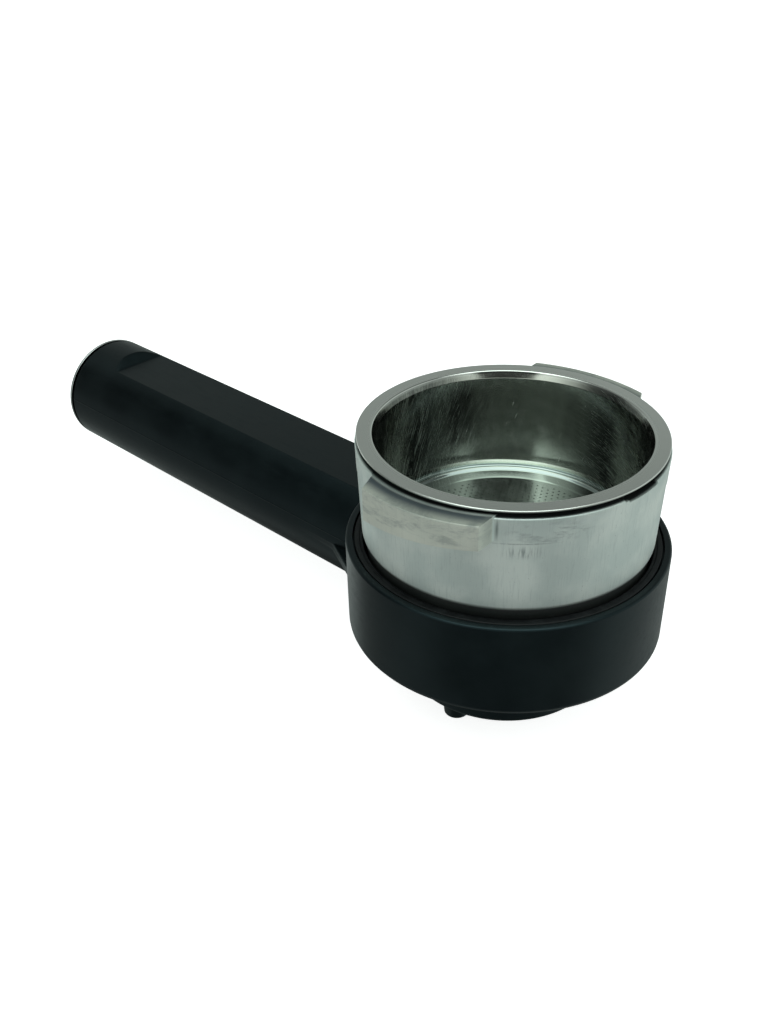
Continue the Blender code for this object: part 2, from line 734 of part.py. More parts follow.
def make_thread_insert(finishes):
    """The brass bush that takes the bolt's thread inside the cup's stub."""
    outline = tube_outline(BOLT_R + TOUCH, INSERT_R, *INSERT_SPAN)
    add_object("thread_insert", lay(lathe(outline, SMALL_ROUND)), finishes["brass"])


def make_bolt_stack(finishes):
    """The bolt that pulls the grip onto the cup's stub, with its two washers."""
    washer_end = GRIP_SEAT - TOUCH - WASHER_THICKNESS
    lock_end = washer_end - TOUCH - LOCK_WASHER_THICKNESS
    head_face = lock_end - TOUCH
    washer = tube_outline(BOLT_R + TOUCH, WASHER_R, washer_end, GRIP_SEAT - TOUCH)
    add_object("handle_washer", lay(lathe(washer, SMALL_ROUND)), finishes["zinc_steel"])
    ring = tube_outline(BOLT_R + TOUCH, BOLT_HEAD_R, lock_end, washer_end - TOUCH)
    split_ring = lay(lathe(ring, SMALL_ROUND, LOCK_WASHER_ARC))
    add_object("handle_lock_washer", split_ring, finishes["spring_steel"])
    head_end = head_face - BOLT_HEAD_LENGTH
    outline = rounded(
        [
            (0.0, head_end),
            (BOLT_HEAD_R, head_end, 0.4),
            (BOLT_HEAD_R, head_face),
            (BOLT_R, head_face),
            (BOLT_R, BOLT_END, 0.5),
            (0.0, BOLT_END),
        ],
        steps=2,
    )
    bolt = add_object("handle_bolt", lay(lathe(outline, SMALL_ROUND)), finishes["zinc_steel"])
    socket = tube_outline(0.0, SOCKET_R, head_end - PAST, head_end + SOCKET_DEPTH)
    combine(bolt, [lay(lathe(socket, SOCKET_SIDES))], "DIFFERENCE")


def make_end_plug(finishes):
    """The plug that closes the hollow grip and holds the cap's stud."""
    face = CAP_END + CAP_THICKNESS + TOUCH
    flange_inner = GRIP_END + PLUG_FLANGE
    sleeve_r = GRIP_HOLLOW_R - TOUCH
    outline = [
        (CAP_STUD_R + TOUCH, face),
        (PLUG_R, face),
        (PLUG_R, flange_inner),
        (sleeve_r, flange_inner),
        (sleeve_r, PLUG_END),
        (sleeve_r - PLUG_WALL, PLUG_END),
        (sleeve_r - PLUG_WALL, flange_inner),
        (CAP_STUD_R + TOUCH, flange_inner),
    ]
    add_object("end_plug", lay(lathe(outline, MIDDLE_ROUND)), finishes["black_plastic"])


def make_end_cap(finishes):
    """The chromed disc that stands off the grip's end on its stud."""
    inner_face = CAP_END + CAP_THICKNESS
    outline = rounded(
        [
            (0.0, CAP_END),
            (CAP_R, CAP_END, CAP_EDGE_R),
            (CAP_R, inner_face),
            (CAP_STUD_R, inner_face),
            (CAP_STUD_R, CAP_STUD_END),
            (0.0, CAP_STUD_END),
        ],
        steps=2,
    )
    add_object("end_cap", lay(lathe(outline, MIDDLE_ROUND)), finishes["chrome"])


def make_cap_retainer(finishes):
    """The push-on washer that grips the cap's stud behind the plug."""
    low = GRIP_END + PLUG_FLANGE + TOUCH
    outline = [
        (CAP_STUD_R + TOUCH, low + RETAINER_RISE),
        (RETAINER_R, low),
        (RETAINER_R, low + RETAINER_SHEET),
        (CAP_STUD_R + TOUCH, low + RETAINER_RISE + RETAINER_SHEET),
    ]
    add_object("cap_retainer", lay(lathe(outline, SMALL_ROUND)), finishes["spring_steel"])


def main():
    """Clears the scene and builds every piece."""
    for piece in list(bpy.data.objects):
        bpy.data.objects.remove(piece)
    finishes = make_finishes()
    builders = (
        make_basket_shell,
        make_basket_base_cap,
        make_retaining_spring,
        make_cup,
        make_skirt,
        make_skirt_seal_ring,
        make_skirt_screws,
        make_spout_housing,
        make_spout_joint_seal,
        make_spout_plate,
        make_spout_screws,
        make_outlet_gasket,
        make_grip,
        make_thread_insert,
        make_bolt_stack,
        make_end_plug,
        make_end_cap,
        make_cap_retainer,
    )
    for build in builders:
        build(finishes)


main()
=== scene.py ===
"""Portafilter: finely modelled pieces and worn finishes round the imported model.

Lengths in this file are millimetres unless a name says otherwise; add_piece turns them into the
frame's metres. The cup's axis is +Z and the handle points along -X.
"""

import json
import math

import bmesh
import bpy
from mathutils import Matrix, Vector
from mathutils.geometry import delaunay_2d_cdt

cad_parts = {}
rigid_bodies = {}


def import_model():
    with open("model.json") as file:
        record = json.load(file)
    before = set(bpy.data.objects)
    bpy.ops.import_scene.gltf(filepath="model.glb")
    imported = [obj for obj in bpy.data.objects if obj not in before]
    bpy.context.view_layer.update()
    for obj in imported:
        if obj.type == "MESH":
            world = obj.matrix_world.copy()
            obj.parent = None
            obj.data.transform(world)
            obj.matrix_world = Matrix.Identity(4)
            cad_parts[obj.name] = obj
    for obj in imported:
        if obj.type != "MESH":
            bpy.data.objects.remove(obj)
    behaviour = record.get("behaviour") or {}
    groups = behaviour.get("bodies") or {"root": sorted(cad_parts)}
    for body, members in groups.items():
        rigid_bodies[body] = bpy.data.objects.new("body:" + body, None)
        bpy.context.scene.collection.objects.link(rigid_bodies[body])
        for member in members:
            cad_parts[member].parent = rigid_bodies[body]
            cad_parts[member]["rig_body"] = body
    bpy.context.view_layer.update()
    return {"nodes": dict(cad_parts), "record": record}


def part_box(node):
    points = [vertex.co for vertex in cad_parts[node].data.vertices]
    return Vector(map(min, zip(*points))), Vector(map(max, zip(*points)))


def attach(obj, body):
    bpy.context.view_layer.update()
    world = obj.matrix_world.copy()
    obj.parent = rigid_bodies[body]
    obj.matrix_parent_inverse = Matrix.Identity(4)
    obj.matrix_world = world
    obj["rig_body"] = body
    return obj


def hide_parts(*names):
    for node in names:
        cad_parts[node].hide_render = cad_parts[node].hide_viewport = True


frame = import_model()

MM = 0.001

# ---------------------------------------------------------------- camera

CAMERA_AT = Vector((0.1204, -0.15768, 0.15711))
CAMERA_AIM = Vector((-0.0287, -0.00538, 0.02646))
CAMERA_ROLL = -0.85
CAMERA_LENS = 41.85


def make_camera():
    """The camera that looks down on the cup with the handle going back to the left."""
    data = bpy.data.cameras.new("camera")
    data.lens = CAMERA_LENS
    data.clip_start = 0.01
    camera = bpy.data.objects.new("camera", data)
    bpy.context.scene.collection.objects.link(camera)
    back = (CAMERA_AT - CAMERA_AIM).normalized()
    level = Vector((0, 0, 1)).cross(back).normalized()
    right = Matrix.Rotation(math.radians(CAMERA_ROLL), 3, back) @ level
    turn = Matrix((right, back.cross(right), back)).transposed()
    camera.matrix_world = Matrix.LocRotScale(CAMERA_AT, turn, None)
    bpy.context.scene.camera = camera


make_camera()

# ---------------------------------------------------------------- sizes


def extent(node):
    """A CAD node's lowest and highest corners in millimetres."""
    low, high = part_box(node)
    return low / MM, high / MM


BASKET_LOW, BASKET_HIGH = extent("basket_shell")
SKIRT_LOW, SKIRT_HIGH = extent("lower_skirt")
PLATE_LOW, PLATE_HIGH = extent("spout_plate")
GRIP_LOW, _ = extent("handle_grip")
CAP_LOW, CAP_HIGH = extent("end_cap")

RIM_TOP = BASKET_HIGH.z
FLANGE_R = BASKET_HIGH.x
FLANGE_BEND_R = 0.3
MOUTH_FLARE = 0.65
BASKET_R = 25.6
BASKET_SHEET = 0.5
BASKET_FLOOR = BASKET_LOW.z + BASKET_SHEET
FIELD_R = 20.3
HOLE_R = 0.2
HOLE_PITCH = 1.35
HOLE_SIDES = 8

SHOULDER = 52.55
CUP_R = 29.45
CUP_BORE_R = 26.5
LIP_R = 28.1
LIP_HEIGHT = 0.25
CUP_UNDERSIDE = 27.2
CUP_FLOOR = 29.6
DRAIN_R = 4.5

LUG_R = 33.3
LUG_CENTRES = (-81.0, 99.0)
LUG_TIP_ANGLES = (-21.5, 20.5)
LUG_ROOT_ANGLES = (-29.0, 25.0)
LUG_TOP = (52.4, 53.0)
LUG_UNDERSIDE = (45.9, 48.0)
LUG_EDGE = 0.3

WIRE_R = 0.5
WIRE_RING_R = 26.95
WIRE_LEVEL = 47.0
WIRE_ARC = 322.0

SKIRT_TOP = SKIRT_HIGH.z
SKIRT_BOTTOM = SKIRT_LOW.z
SKIRT_TOP_R = 31.76
SKIRT_BOTTOM_R = 31.44
SKIRT_INNER_R = 29.3
SKIRT_PLATE = 1.6
SEAT_R = 30.3
SEAT_LEVEL = 29.9
MOUTH_R = 28.3

SPOUT_R = PLATE_HIGH.x
SPOUT_DRUM_BOTTOM = 4.4
NOZZLE_TIP = PLATE_LOW.z
NOZZLE_Y = 14.0
SPOUT_SCREW_X = 13.0
SPOUT_SCREW_R = 1.75
SKIRT_SCREW_AT_R = 24.0
SKIRT_SCREW_R = 1.3
SKIRT_SCREW_ANGLES = (-60.0, 60.0)

HANDLE_AXIS = 19.13
GRIP_R = 13.29
GRIP_END = GRIP_LOW.x
FLAT_LEVEL = 11.35
FLAT_END = -120.46
FLAT_RUN_OUT = 3.4
SADDLE_R = 32.06
STUB_R = 5.0
STUB_END = -40.0
BOLT_R = 2.4
INSERT_R = 3.3
GAP = 0.3

# Segments in big, middling and small turned shapes
FINE = 192
ROUND = 96
SMALL = 40

# ---------------------------------------------------------------- outlines


def on_circle(radius, angle):
    """The point at an angle in degrees on a circle round the cup's axis."""
    return radius * math.cos(math.radians(angle)), radius * math.sin(math.radians(angle))


def rounded(corners, steps=4):
    """An outline from (a, b) or (a, b, radius) corners, with each radius as an arc."""
    outline = []
    for i, corner in enumerate(corners):
        here = Vector(corner[:2])
        radius = corner[2] if len(corner) > 2 else 0.0
        if radius == 0.0:
            outline.append(tuple(here))
            continue
        back = (Vector(corners[i - 1][:2]) - here).normalized()
        ahead = (Vector(corners[(i + 1) % len(corners)][:2]) - here).normalized()
        half = back.angle(ahead) / 2
        centre = here + (back + ahead).normalized() * (radius / math.sin(half))
        first = here + back * (radius / math.tan(half)) - centre
        last = here + ahead * (radius / math.tan(half)) - centre
        turn = -first.angle_signed(last)
        for k in range(steps + 1):
            spoke = first.copy()
            spoke.rotate(Matrix.Rotation(turn * k / steps, 2))
            outline.append(tuple(centre + spoke))
    return outline


def tube(inner, outer, low, high, edge=0.0):
    """The outline of a ring, or of a cylinder when inner is 0, with its outer edges rounded."""
    return rounded([(inner, low), (outer, low, edge), (outer, high, edge), (inner, high)])


# ---------------------------------------------------------------- solids


def lathe(outline, segments, angle=360.0, closed=True):
    """A bmesh of the (radius, height) outline spun about Z."""
    shape = bmesh.new()
    corners = [shape.verts.new((r, 0.0, z)) for r, z in outline]
    loop = corners + corners[:1] if closed else corners
    edges = [shape.edges.new(pair) for pair in zip(loop, loop[1:])]
    whole = angle == 360.0
    if not whole:
        shape.faces.new(corners)
    bmesh.ops.spin(
        shape,
        geom=corners + edges + list(shape.faces),
        cent=(0, 0, 0),
        axis=(0, 0, 1),
        angle=math.radians(angle),
        steps=segments,
        use_merge=whole,
    )
    bmesh.ops.remove_doubles(shape, verts=shape.verts, dist=1e-4)
    hubs = [vert for vert in shape.verts if vert.co.xy.length < 1e-4]
    bmesh.ops.dissolve_verts(shape, verts=hubs)
    return shape


def stand(shape, at):
    """Moves a solid turned about Z to stand at the point (x, y)."""
    bmesh.ops.translate(shape, verts=shape.verts, vec=(at[0], at[1], 0.0))
    return shape


def lay(shape):
    """Lays a solid turned about Z along the handle: its height becomes X."""
    turn = Matrix(((0, 0, 1), (0, 1, 0), (-1, 0, 0))).to_4x4()
    bmesh.ops.transform(shape, matrix=turn, verts=shape.verts)
    bmesh.ops.translate(shape, verts=shape.verts, vec=(0, 0, HANDLE_AXIS))
    return shape


def prism(outline, low, high, edge=0.0):
    """A bmesh of an (x, y) outline raised from low to high, with its edges rounded."""
    shape = bmesh.new()
    base = shape.faces.new([shape.verts.new((x, y, low)) for x, y in outline])
    top = bmesh.ops.extrude_face_region(shape, geom=[base])
    risen = [item for item in top["geom"] if isinstance(item, bmesh.types.BMVert)]
    bmesh.ops.translate(shape, verts=risen, vec=(0, 0, high - low))
    if edge:
        bmesh.ops.recalc_face_normals(shape, faces=shape.faces)
        bevel(shape, shape.edges[:], edge)
    return shape


def bevel(shape, edges, width):
    """Rounds edges of a solid."""
    bmesh.ops.bevel(
        shape, geom=edges, offset=width, offset_type="OFFSET", segments=3, profile=0.5,
        affect="EDGES", clamp_overlap=True,
    )


def mesh_of(shape, name):
    """A mesh in metres from a bmesh in millimetres."""
    bmesh.ops.remove_doubles(shape, verts=shape.verts, dist=1e-4)
    bmesh.ops.recalc_face_normals(shape, faces=shape.faces)
    bmesh.ops.scale(shape, verts=shape.verts, vec=(MM, MM, MM))
    mesh = bpy.data.meshes.new(name)
    shape.to_mesh(mesh)
    shape.free()
    return mesh


def combine(piece, solids, operation):
    """Adds solids to a piece, or cuts them from it, and keeps the result as its mesh."""
    tools = []
    for i, solid in enumerate(solids):
        tool = bpy.data.objects.new(f"tool_{i}", mesh_of(solid, f"tool_{i}"))
        bpy.context.scene.collection.objects.link(tool)
        change = piece.modifiers.new(f"change_{i}", "BOOLEAN")
        change.operation = operation
        change.solver = "EXACT"
        change.object = tool
        tools.append(tool)
    seen = piece.evaluated_get(bpy.context.evaluated_depsgraph_get())
    piece.data = bpy.data.meshes.new_from_object(seen)
    piece.modifiers.clear()
    for tool in tools:
        bpy.data.objects.remove(tool)


def add_piece(name, shape, finish, nodes, additions=(), cuts=()):
    """A shown piece that stands for CAD nodes and rides on their body."""
    piece = bpy.data.objects.new(name, mesh_of(shape, name))
    bpy.context.scene.collection.objects.link(piece)
    if additions:
        combine(piece, additions, "UNION")
    if cuts:
        combine(piece, cuts, "DIFFERENCE")
    piece.data.materials.clear()
    piece.data.materials.append(FINISHES[finish])
    piece.data.shade_smooth()
    piece.data.set_sharp_from_angle(angle=math.radians(32))
    weights = piece.modifiers.new("even_normals", "WEIGHTED_NORMAL")
    weights.keep_sharp = True
    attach(piece, frame["nodes"][nodes[0]]["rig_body"])
    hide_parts(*nodes)
    return piece


# ---------------------------------------------------------------- finishes


class Finish:
    """A material being made: each call adds a node and gives back what comes out of it."""

    def __init__(self, name, metallic, **constants):
        self.material = bpy.data.materials.new(name)
        self.material.use_nodes = True
        self.tree = self.material.node_tree
        self.shader = self.tree.nodes["Principled BSDF"]
        self.shader.inputs["Metallic"].default_value = metallic
        for socket, value in constants.items():
            self.shader.inputs[socket.replace("_", " ")].default_value = value
        source = self.tree.nodes.new("ShaderNodeTexCoord")
        self.place = self.vector("SCALE", source.outputs["Object"], 1.0 / MM)
        self.facing = source.outputs["Normal"]

    def feed(self, socket, value):
        """Joins a node's output to a socket, or sets the socket."""
        if isinstance(value, bpy.types.NodeSocket):
            self.tree.links.new(value, socket)
        else:
            socket.default_value = value

    def math(self, operation, *values, clamp=False):
        node = self.tree.nodes.new("ShaderNodeMath")
        node.operation = operation
        node.use_clamp = clamp
        for socket, value in zip(node.inputs, values):
            self.feed(socket, value)
        return node.outputs[0]

    def vector(self, operation, first, second=None):
        node = self.tree.nodes.new("ShaderNodeVectorMath")
        node.operation = operation
        self.feed(node.inputs[0], first)
        if second is not None:
            self.feed(node.inputs["Scale" if operation == "SCALE" else 1], second)
        return node.outputs["Value" if operation == "LENGTH" else "Vector"]

    def parts(self, vector):
        """The x, y and z of a vector."""
        node = self.tree.nodes.new("ShaderNodeSeparateXYZ")
        self.feed(node.inputs[0], vector)
        return node.outputs

    def join(self, x, y, z):
        """A vector from its x, y and z."""
        node = self.tree.nodes.new("ShaderNodeCombineXYZ")
        for socket, value in zip(node.inputs, (x, y, z)):
            self.feed(socket, value)
        return node.outputs[0]

    def noise(self, place, scale, detail=3.0, rough=0.5, distortion=0.0):
        node = self.tree.nodes.new("ShaderNodeTexNoise")
        self.feed(node.inputs["Vector"], place)
        node.inputs["Scale"].default_value = scale
        node.inputs["Detail"].default_value = detail
        node.inputs["Roughness"].default_value = rough
        node.inputs["Distortion"].default_value = distortion
        return node.outputs[0]

    def stretched(self, stretch, scale, **kind):
        """Noise drawn out along an axis: a small stretch factor makes long marks."""
        return self.noise(self.vector("MULTIPLY", self.place, stretch), scale, **kind)

    def specks(self, scale, size, share):
        """1 on small dots, in a share of the cells of a grid, and 0 elsewhere."""
        node = self.tree.nodes.new("ShaderNodeTexVoronoi")
        self.feed(node.inputs["Vector"], self.place)
        node.inputs["Scale"].default_value = scale
        dot = self.ramp(node.outputs["Distance"], size, size * 0.6)
        chosen = self.ramp(self.parts(node.outputs["Color"])[0], 1.0 - share, 1.001 - share)
        return self.math("MULTIPLY", dot, chosen)

    def ramp(self, value, low, high, to_low=0.0, to_high=1.0):
        """A smooth step from to_low at low to to_high at high."""
        node = self.tree.nodes.new("ShaderNodeMapRange")
        node.interpolation_type = "SMOOTHSTEP"
        for socket, number in zip(node.inputs, (value, low, high, to_low, to_high)):
            self.feed(socket, number)
        return node.outputs[0]

    def near(self, value, middle, reach):
        """1 where a value is at middle, falling to 0 at reach from it."""
        away = self.math("ABSOLUTE", self.math("SUBTRACT", value, middle))
        return self.ramp(away, reach, 0.0)

    def blend(self, share, first, second):
        """A colour between two."""
        node = self.tree.nodes.new("ShaderNodeMix")
        node.data_type = "RGBA"
        colours = [socket for socket in node.inputs if socket.type == "RGBA"]
        self.feed(node.inputs[0], share)
        for socket, colour in zip(colours, (first, second)):
            self.feed(socket, (*colour, 1.0) if isinstance(colour, tuple) else colour)
        return next(socket for socket in node.outputs if socket.type == "RGBA")

    def bump(self, height, depth, normal=None):
        """Relief of a depth in millimetres, on top of another relief."""
        node = self.tree.nodes.new("ShaderNodeBump")
        node.inputs["Distance"].default_value = depth * MM
        self.feed(node.inputs["Height"], height)
        if normal is not None:
            self.feed(node.inputs["Normal"], normal)
        return node.outputs[0]

    def done(self, colour, roughness, normal):
        """Joins the last outputs to the shader."""
        self.feed(self.shader.inputs["Base Color"], colour)
        self.feed(self.shader.inputs["Roughness"], roughness)
        self.feed(self.shader.inputs["Normal"], normal)
        return self.material

    def round_the_cup(self):
        """(distance from the axis, angle in degrees, height) of a point."""
        x, y, z = self.parts(self.place)
        flat = self.vector("MULTIPLY", self.place, (1.0, 1.0, 0.0))
        angle = self.math("DEGREES", self.math("ARCTAN2", y, x))
        return self.vector("LENGTH", flat), angle, z


def cast_aluminium():
    """Satin die casting: brushed up the wall, smudged beside the near lug, with painted shade in its
    corners, on the lugs' tops, under the basket's flange and on the foot.
    """
    look = Finish("cast_aluminium", 0.82)
    radius, angle, height = look.round_the_cup()
    clouds = look.noise(look.place, 0.11, detail=4)
    brushing = look.stretched((1.0, 1.0, 0.05), 3.2, detail=4, rough=0.65)
    mottle = look.noise(look.place, 1.6, detail=5, rough=0.7)
    colour = look.blend(look.ramp(clouds, 0.35, 0.65), (0.68, 0.76, 0.73), (0.82, 0.88, 0.84))
    colour = look.blend(look.ramp(brushing, 0.50, 0.75, 0.0, 0.35), colour, (0.50, 0.56, 0.55))
    colour = look.blend(look.ramp(mottle, 0.55, 0.8, 0.0, 0.3), colour, (0.52, 0.58, 0.57))
    on_lug = look.ramp(radius, 29.5, 30.1)
    colour = look.blend(look.math("MULTIPLY", on_lug, 0.65), colour, (0.76, 0.76, 0.66))
    smears = look.stretched((0.5, 0.5, 1.4), 0.45, detail=6, rough=0.72, distortion=0.5)
    patch = look.math("MULTIPLY", look.near(angle, -38.0, 22.0), look.near(height, 49.6, 3.6))
    worn = look.math("MAXIMUM", patch, look.math("MULTIPLY", on_lug, 0.5))
    worn = look.math("MULTIPLY", look.ramp(smears, 0.46, 0.70), worn)
    colour = look.blend(look.math("MULTIPLY", worn, 0.85), colour, (0.26, 0.30, 0.30))
    # Painted shade and reflection: the lugs' up-facing tops go dark blue-grey towards the cup.
    top = look.math("MULTIPLY", on_lug, look.ramp(look.parts(look.facing)[2], 0.6, 0.8))
    lug_top_painted_shade = look.math("MULTIPLY", top, look.ramp(radius, 32.9, 30.3))
    colour = look.blend(look.math("MULTIPLY", lug_top_painted_shade, 0.9), colour, (0.10, 0.13, 0.16))
    end_angle = LUG_CENTRES[0] + LUG_ROOT_ANGLES[1]
    # Painted shade: the near lug's end face darker.
    lug_end_painted_shade = look.math("MULTIPLY", on_lug, look.near(angle, end_angle - 2.3, 2.6))
    colour = look.blend(look.math("MULTIPLY", lug_end_painted_shade, 0.5), colour, (0.42, 0.46, 0.43))
    # Painted shade: a dark line in the corner at the near lug's high end, where it meets the wall.
    corner = look.math("MULTIPLY", look.near(angle, end_angle, 0.8), look.near(height, 50.3, 3.0))
    colour = look.blend(look.math("MULTIPLY", corner, 0.7), colour, (0.16, 0.19, 0.19))
    flow_line = look.math("MULTIPLY", look.near(height, 47.45, 0.22), look.near(angle, -47.0, 17.0))
    flow_line = look.math("MULTIPLY", flow_line, look.ramp(mottle, 0.35, 0.6, 0.3, 1.0))
    colour = look.blend(look.math("MULTIPLY", flow_line, 0.7), colour, (0.24, 0.28, 0.28))
    rub = look.math("MULTIPLY", look.near(height, 45.6, 1.7), look.near(angle, -47.0, 9.0))
    rub = look.math("MULTIPLY", rub, look.ramp(brushing, 0.42, 0.60))
    colour = look.blend(look.math("MULTIPLY", rub, 0.75), colour, (0.28, 0.32, 0.32))
    pits = look.ramp(look.noise(look.place, 2.6, detail=2), 0.70, 0.78)
    colour = look.blend(look.math("MULTIPLY", pits, 0.5), colour, (0.25, 0.28, 0.28))
    # Painted shade: near-black on the cup's top in the gap under the basket's flange.
    rim_gap_painted_shade = look.ramp(radius, FLANGE_R + 0.2, FLANGE_R - 0.5)
    rim_gap_painted_shade = look.math("MULTIPLY", rim_gap_painted_shade, look.ramp(height, 51.0, 51.4))
    colour = look.blend(look.math("MULTIPLY", rim_gap_painted_shade, 0.95), colour, (0.02, 0.023, 0.024))
    # Painted shade: the cup's foot near-black below 33.9 mm.
    foot = look.ramp(height, 33.9, 32.9)
    colour = look.blend(look.math("MULTIPLY", foot, 0.93), colour, (0.02, 0.023, 0.024))
    streaks = look.ramp(brushing, 0.4, 0.8, 0.0, 0.10)
    roughness = look.math("ADD", look.ramp(clouds, 0.3, 0.7, 0.46, 0.54), streaks)
    normal = look.bump(brushing, 0.010)
    normal = look.bump(mottle, 0.018, normal)
    normal = look.bump(look.math("MULTIPLY", pits, -1.0), 0.03, normal)
    return look.done(colour, roughness, normal)


def stainless():
    """Polished sheet: spun rings on the flange, long slanting scratches down the wall, a painted reflection
    in a light sector of the otherwise dark wall, and painted shade under the flange.
    """
    look = Finish("stainless", 1.0)
    radius, angle, height = look.round_the_cup()
    rings = look.noise(look.join(look.math("MULTIPLY", radius, 6.0), 0.0, 0.0), 1.0, detail=2)
    arc = look.math("MULTIPLY", angle, 0.45)
    slant = look.math("ADD", arc, look.math("MULTIPLY", height, 0.35))
    lean = look.join(look.math("MULTIPLY", slant, 6.0), look.math("MULTIPLY", height, 0.22), radius)
    lines = look.noise(lean, 1.0, detail=3, rough=0.6)
    other = look.math("SUBTRACT", height, look.math("MULTIPLY", arc, 0.3))
    lean = look.join(look.math("MULTIPLY", other, 6.0), look.math("MULTIPLY", arc, 0.3), radius)
    cross = look.noise(lean, 1.0, detail=3, rough=0.6)
    left = look.near(look.math("ABSOLUTE", angle), 180.0, 50.0)
    right = look.near(angle, 66.0, 42.0)
    bands = look.noise(look.join(look.math("MULTIPLY", arc, 0.22), 0.0, 0.0), 1.0, detail=1)
    wall = look.math("MULTIPLY", look.ramp(radius, 25.3, 25.5), look.ramp(radius, 26.3, 25.9))
    everywhere = look.ramp(lines, 0.66, 0.78, 0.0, 0.5)
    leaning = look.math("MULTIPLY", look.ramp(lines, 0.50, 0.66), left)
    crossing = look.math("MULTIPLY", look.ramp(cross, 0.50, 0.66), right)
    scratches = look.math("MAXIMUM", everywhere, look.math("MAXIMUM", leaning, crossing))
    scratches = look.math("MULTIPLY", scratches, wall)
    flange = look.ramp(radius, 26.3, 27.0)
    floor = look.ramp(height, BASKET_FLOOR + 0.9, BASKET_FLOOR + 0.5)
    colour = look.blend(look.ramp(bands, 0.35, 0.65), (0.15, 0.158, 0.147), (0.24, 0.25, 0.228))
    # Painted light: the wall's base colour is kept dark and lifted to near white over a sector centred on
    # 126 degrees, the side of the wall that faces the camera across the basket; this paints the wall's
    # reflection, and the sector turns with the basket.
    facing = look.near(angle, 126.0, 48.0)
    colour = look.blend(facing, colour, (0.98, 0.98, 0.88))
    colour = look.blend(look.math("SUBTRACT", 1.0, wall), colour, (0.99, 1.0, 0.95))
    colour = look.blend(floor, colour, (0.42, 0.48, 0.46))
    colour = look.blend(look.math("MULTIPLY", scratches, 0.5), colour, (0.74, 0.77, 0.71))
    # Painted shade: the flange's underside and outer edge near-black, from just below its top.
    under = look.ramp(height, RIM_TOP - 0.16, RIM_TOP - 0.40)
    under = look.math("MULTIPLY", under, look.ramp(radius, 26.0, 26.2))
    colour = look.blend(look.math("MULTIPLY", under, 0.9), colour, (0.03, 0.034, 0.034))
    haze = look.ramp(look.noise(look.place, 0.5, detail=4), 0.35, 0.75, 0.0, 0.04)
    haze = look.math("ADD", haze, look.math("MULTIPLY", wall, 0.05))
    roughness = look.math("ADD", haze, look.math("MULTIPLY", flange, 0.20))
    roughness = look.math("ADD", roughness, look.math("MULTIPLY", scratches, 0.30))
    roughness = look.math("ADD", roughness, 0.08)
    normal = look.bump(scratches, 0.006)
    normal = look.bump(rings, 0.003, normal)
    normal = look.bump(look.math("MULTIPLY", bands, wall), 0.04, normal)
    return look.done(colour, roughness, normal)


def black_plastic():
    """Fine satin moulding with a little dust and rubbed places."""
    look = Finish("black_plastic", 0.0, Specular_IOR_Level=0.42)
    look.shader.inputs["Specular Tint"].default_value = (0.62, 0.95, 1.05, 1.0)
    grain = look.noise(look.place, 7.0, detail=3, rough=0.6)
    rubbed = look.noise(look.place, 0.07, detail=5, rough=0.6)
    handling = look.stretched((0.25, 1.0, 1.0), 0.8, detail=4, rough=0.6)
    dust = look.specks(0.16, 0.035, 0.30)
    rubbing = look.ramp(rubbed, 0.35, 0.7)
    colour = look.blend(rubbing, (0.0012, 0.0018, 0.0022), (0.0026, 0.0038, 0.0042))
    colour = look.blend(look.math("MULTIPLY", dust, 0.5), colour, (0.16, 0.20, 0.20))
    handled = look.ramp(handling, 0.45, 0.75, 0.0, 0.06)
    roughness = look.math("ADD", look.ramp(rubbed, 0.3, 0.7, 0.29, 0.35), handled)
    normal = look.bump(grain, 0.006)
    normal = look.bump(look.noise(look.place, 0.12, detail=2), 0.03, normal)
    return look.done(colour, roughness, normal)


def black_rubber():
    """Matt seal with a bloom and lint."""
    look = Finish("black_rubber", 0.0, Specular_IOR_Level=0.3)
    bloom = look.noise(look.place, 0.4, detail=5, rough=0.65)
    grain = look.noise(look.place, 9.0, detail=3)
    lint = look.specks(0.35, 0.10, 0.12)
    colour = look.blend(look.ramp(bloom, 0.4, 0.7), (0.005, 0.006, 0.007), (0.012, 0.014, 0.015))
    colour = look.blend(look.math("MULTIPLY", lint, 0.6), colour, (0.20, 0.24, 0.24))
    return look.done(colour, look.ramp(bloom, 0.3, 0.7, 0.48, 0.66), look.bump(grain, 0.01))


def drawn_metal(name, light, dark, low, high, nicked=0.4):
    """A turned, plated or drawn metal: tarnish, fine tool marks and small nicks."""
    look = Finish(name, 1.0)
    tarnish = look.noise(look.place, 0.45, detail=5, rough=0.65)
    marks = look.stretched((1.0, 1.0, 6.0), 2.4, detail=3)
    nicks = look.ramp(look.noise(look.place, 1.7, detail=2), 0.68, 0.76)
    colour = look.blend(look.ramp(tarnish, 0.35, 0.7), light, dark)
    nicks = look.math("MULTIPLY", nicks, nicked)
    colour = look.blend(nicks, colour, tuple(part * 0.45 for part in dark))
    roughness = look.math("ADD", look.ramp(tarnish, 0.3, 0.7, low, high), look.math("MULTIPLY", nicks, 0.4))
    normal = look.bump(marks, 0.004)
    normal = look.bump(look.math("MULTIPLY", nicks, -1.0), 0.05, normal)
    return look.done(colour, roughness, normal)


def silicone():
    """Food-grade silicone with coffee staining."""
    look = Finish("silicone", 0.0, Specular_IOR_Level=0.4)
    stain = look.noise(look.place, 0.5, detail=5, rough=0.65)
    colour = look.blend(look.ramp(stain, 0.4, 0.7), (0.50, 0.13, 0.08), (0.26, 0.08, 0.05))
    return look.done(colour, look.ramp(stain, 0.3, 0.7, 0.50, 0.68), look.bump(stain, 0.02))


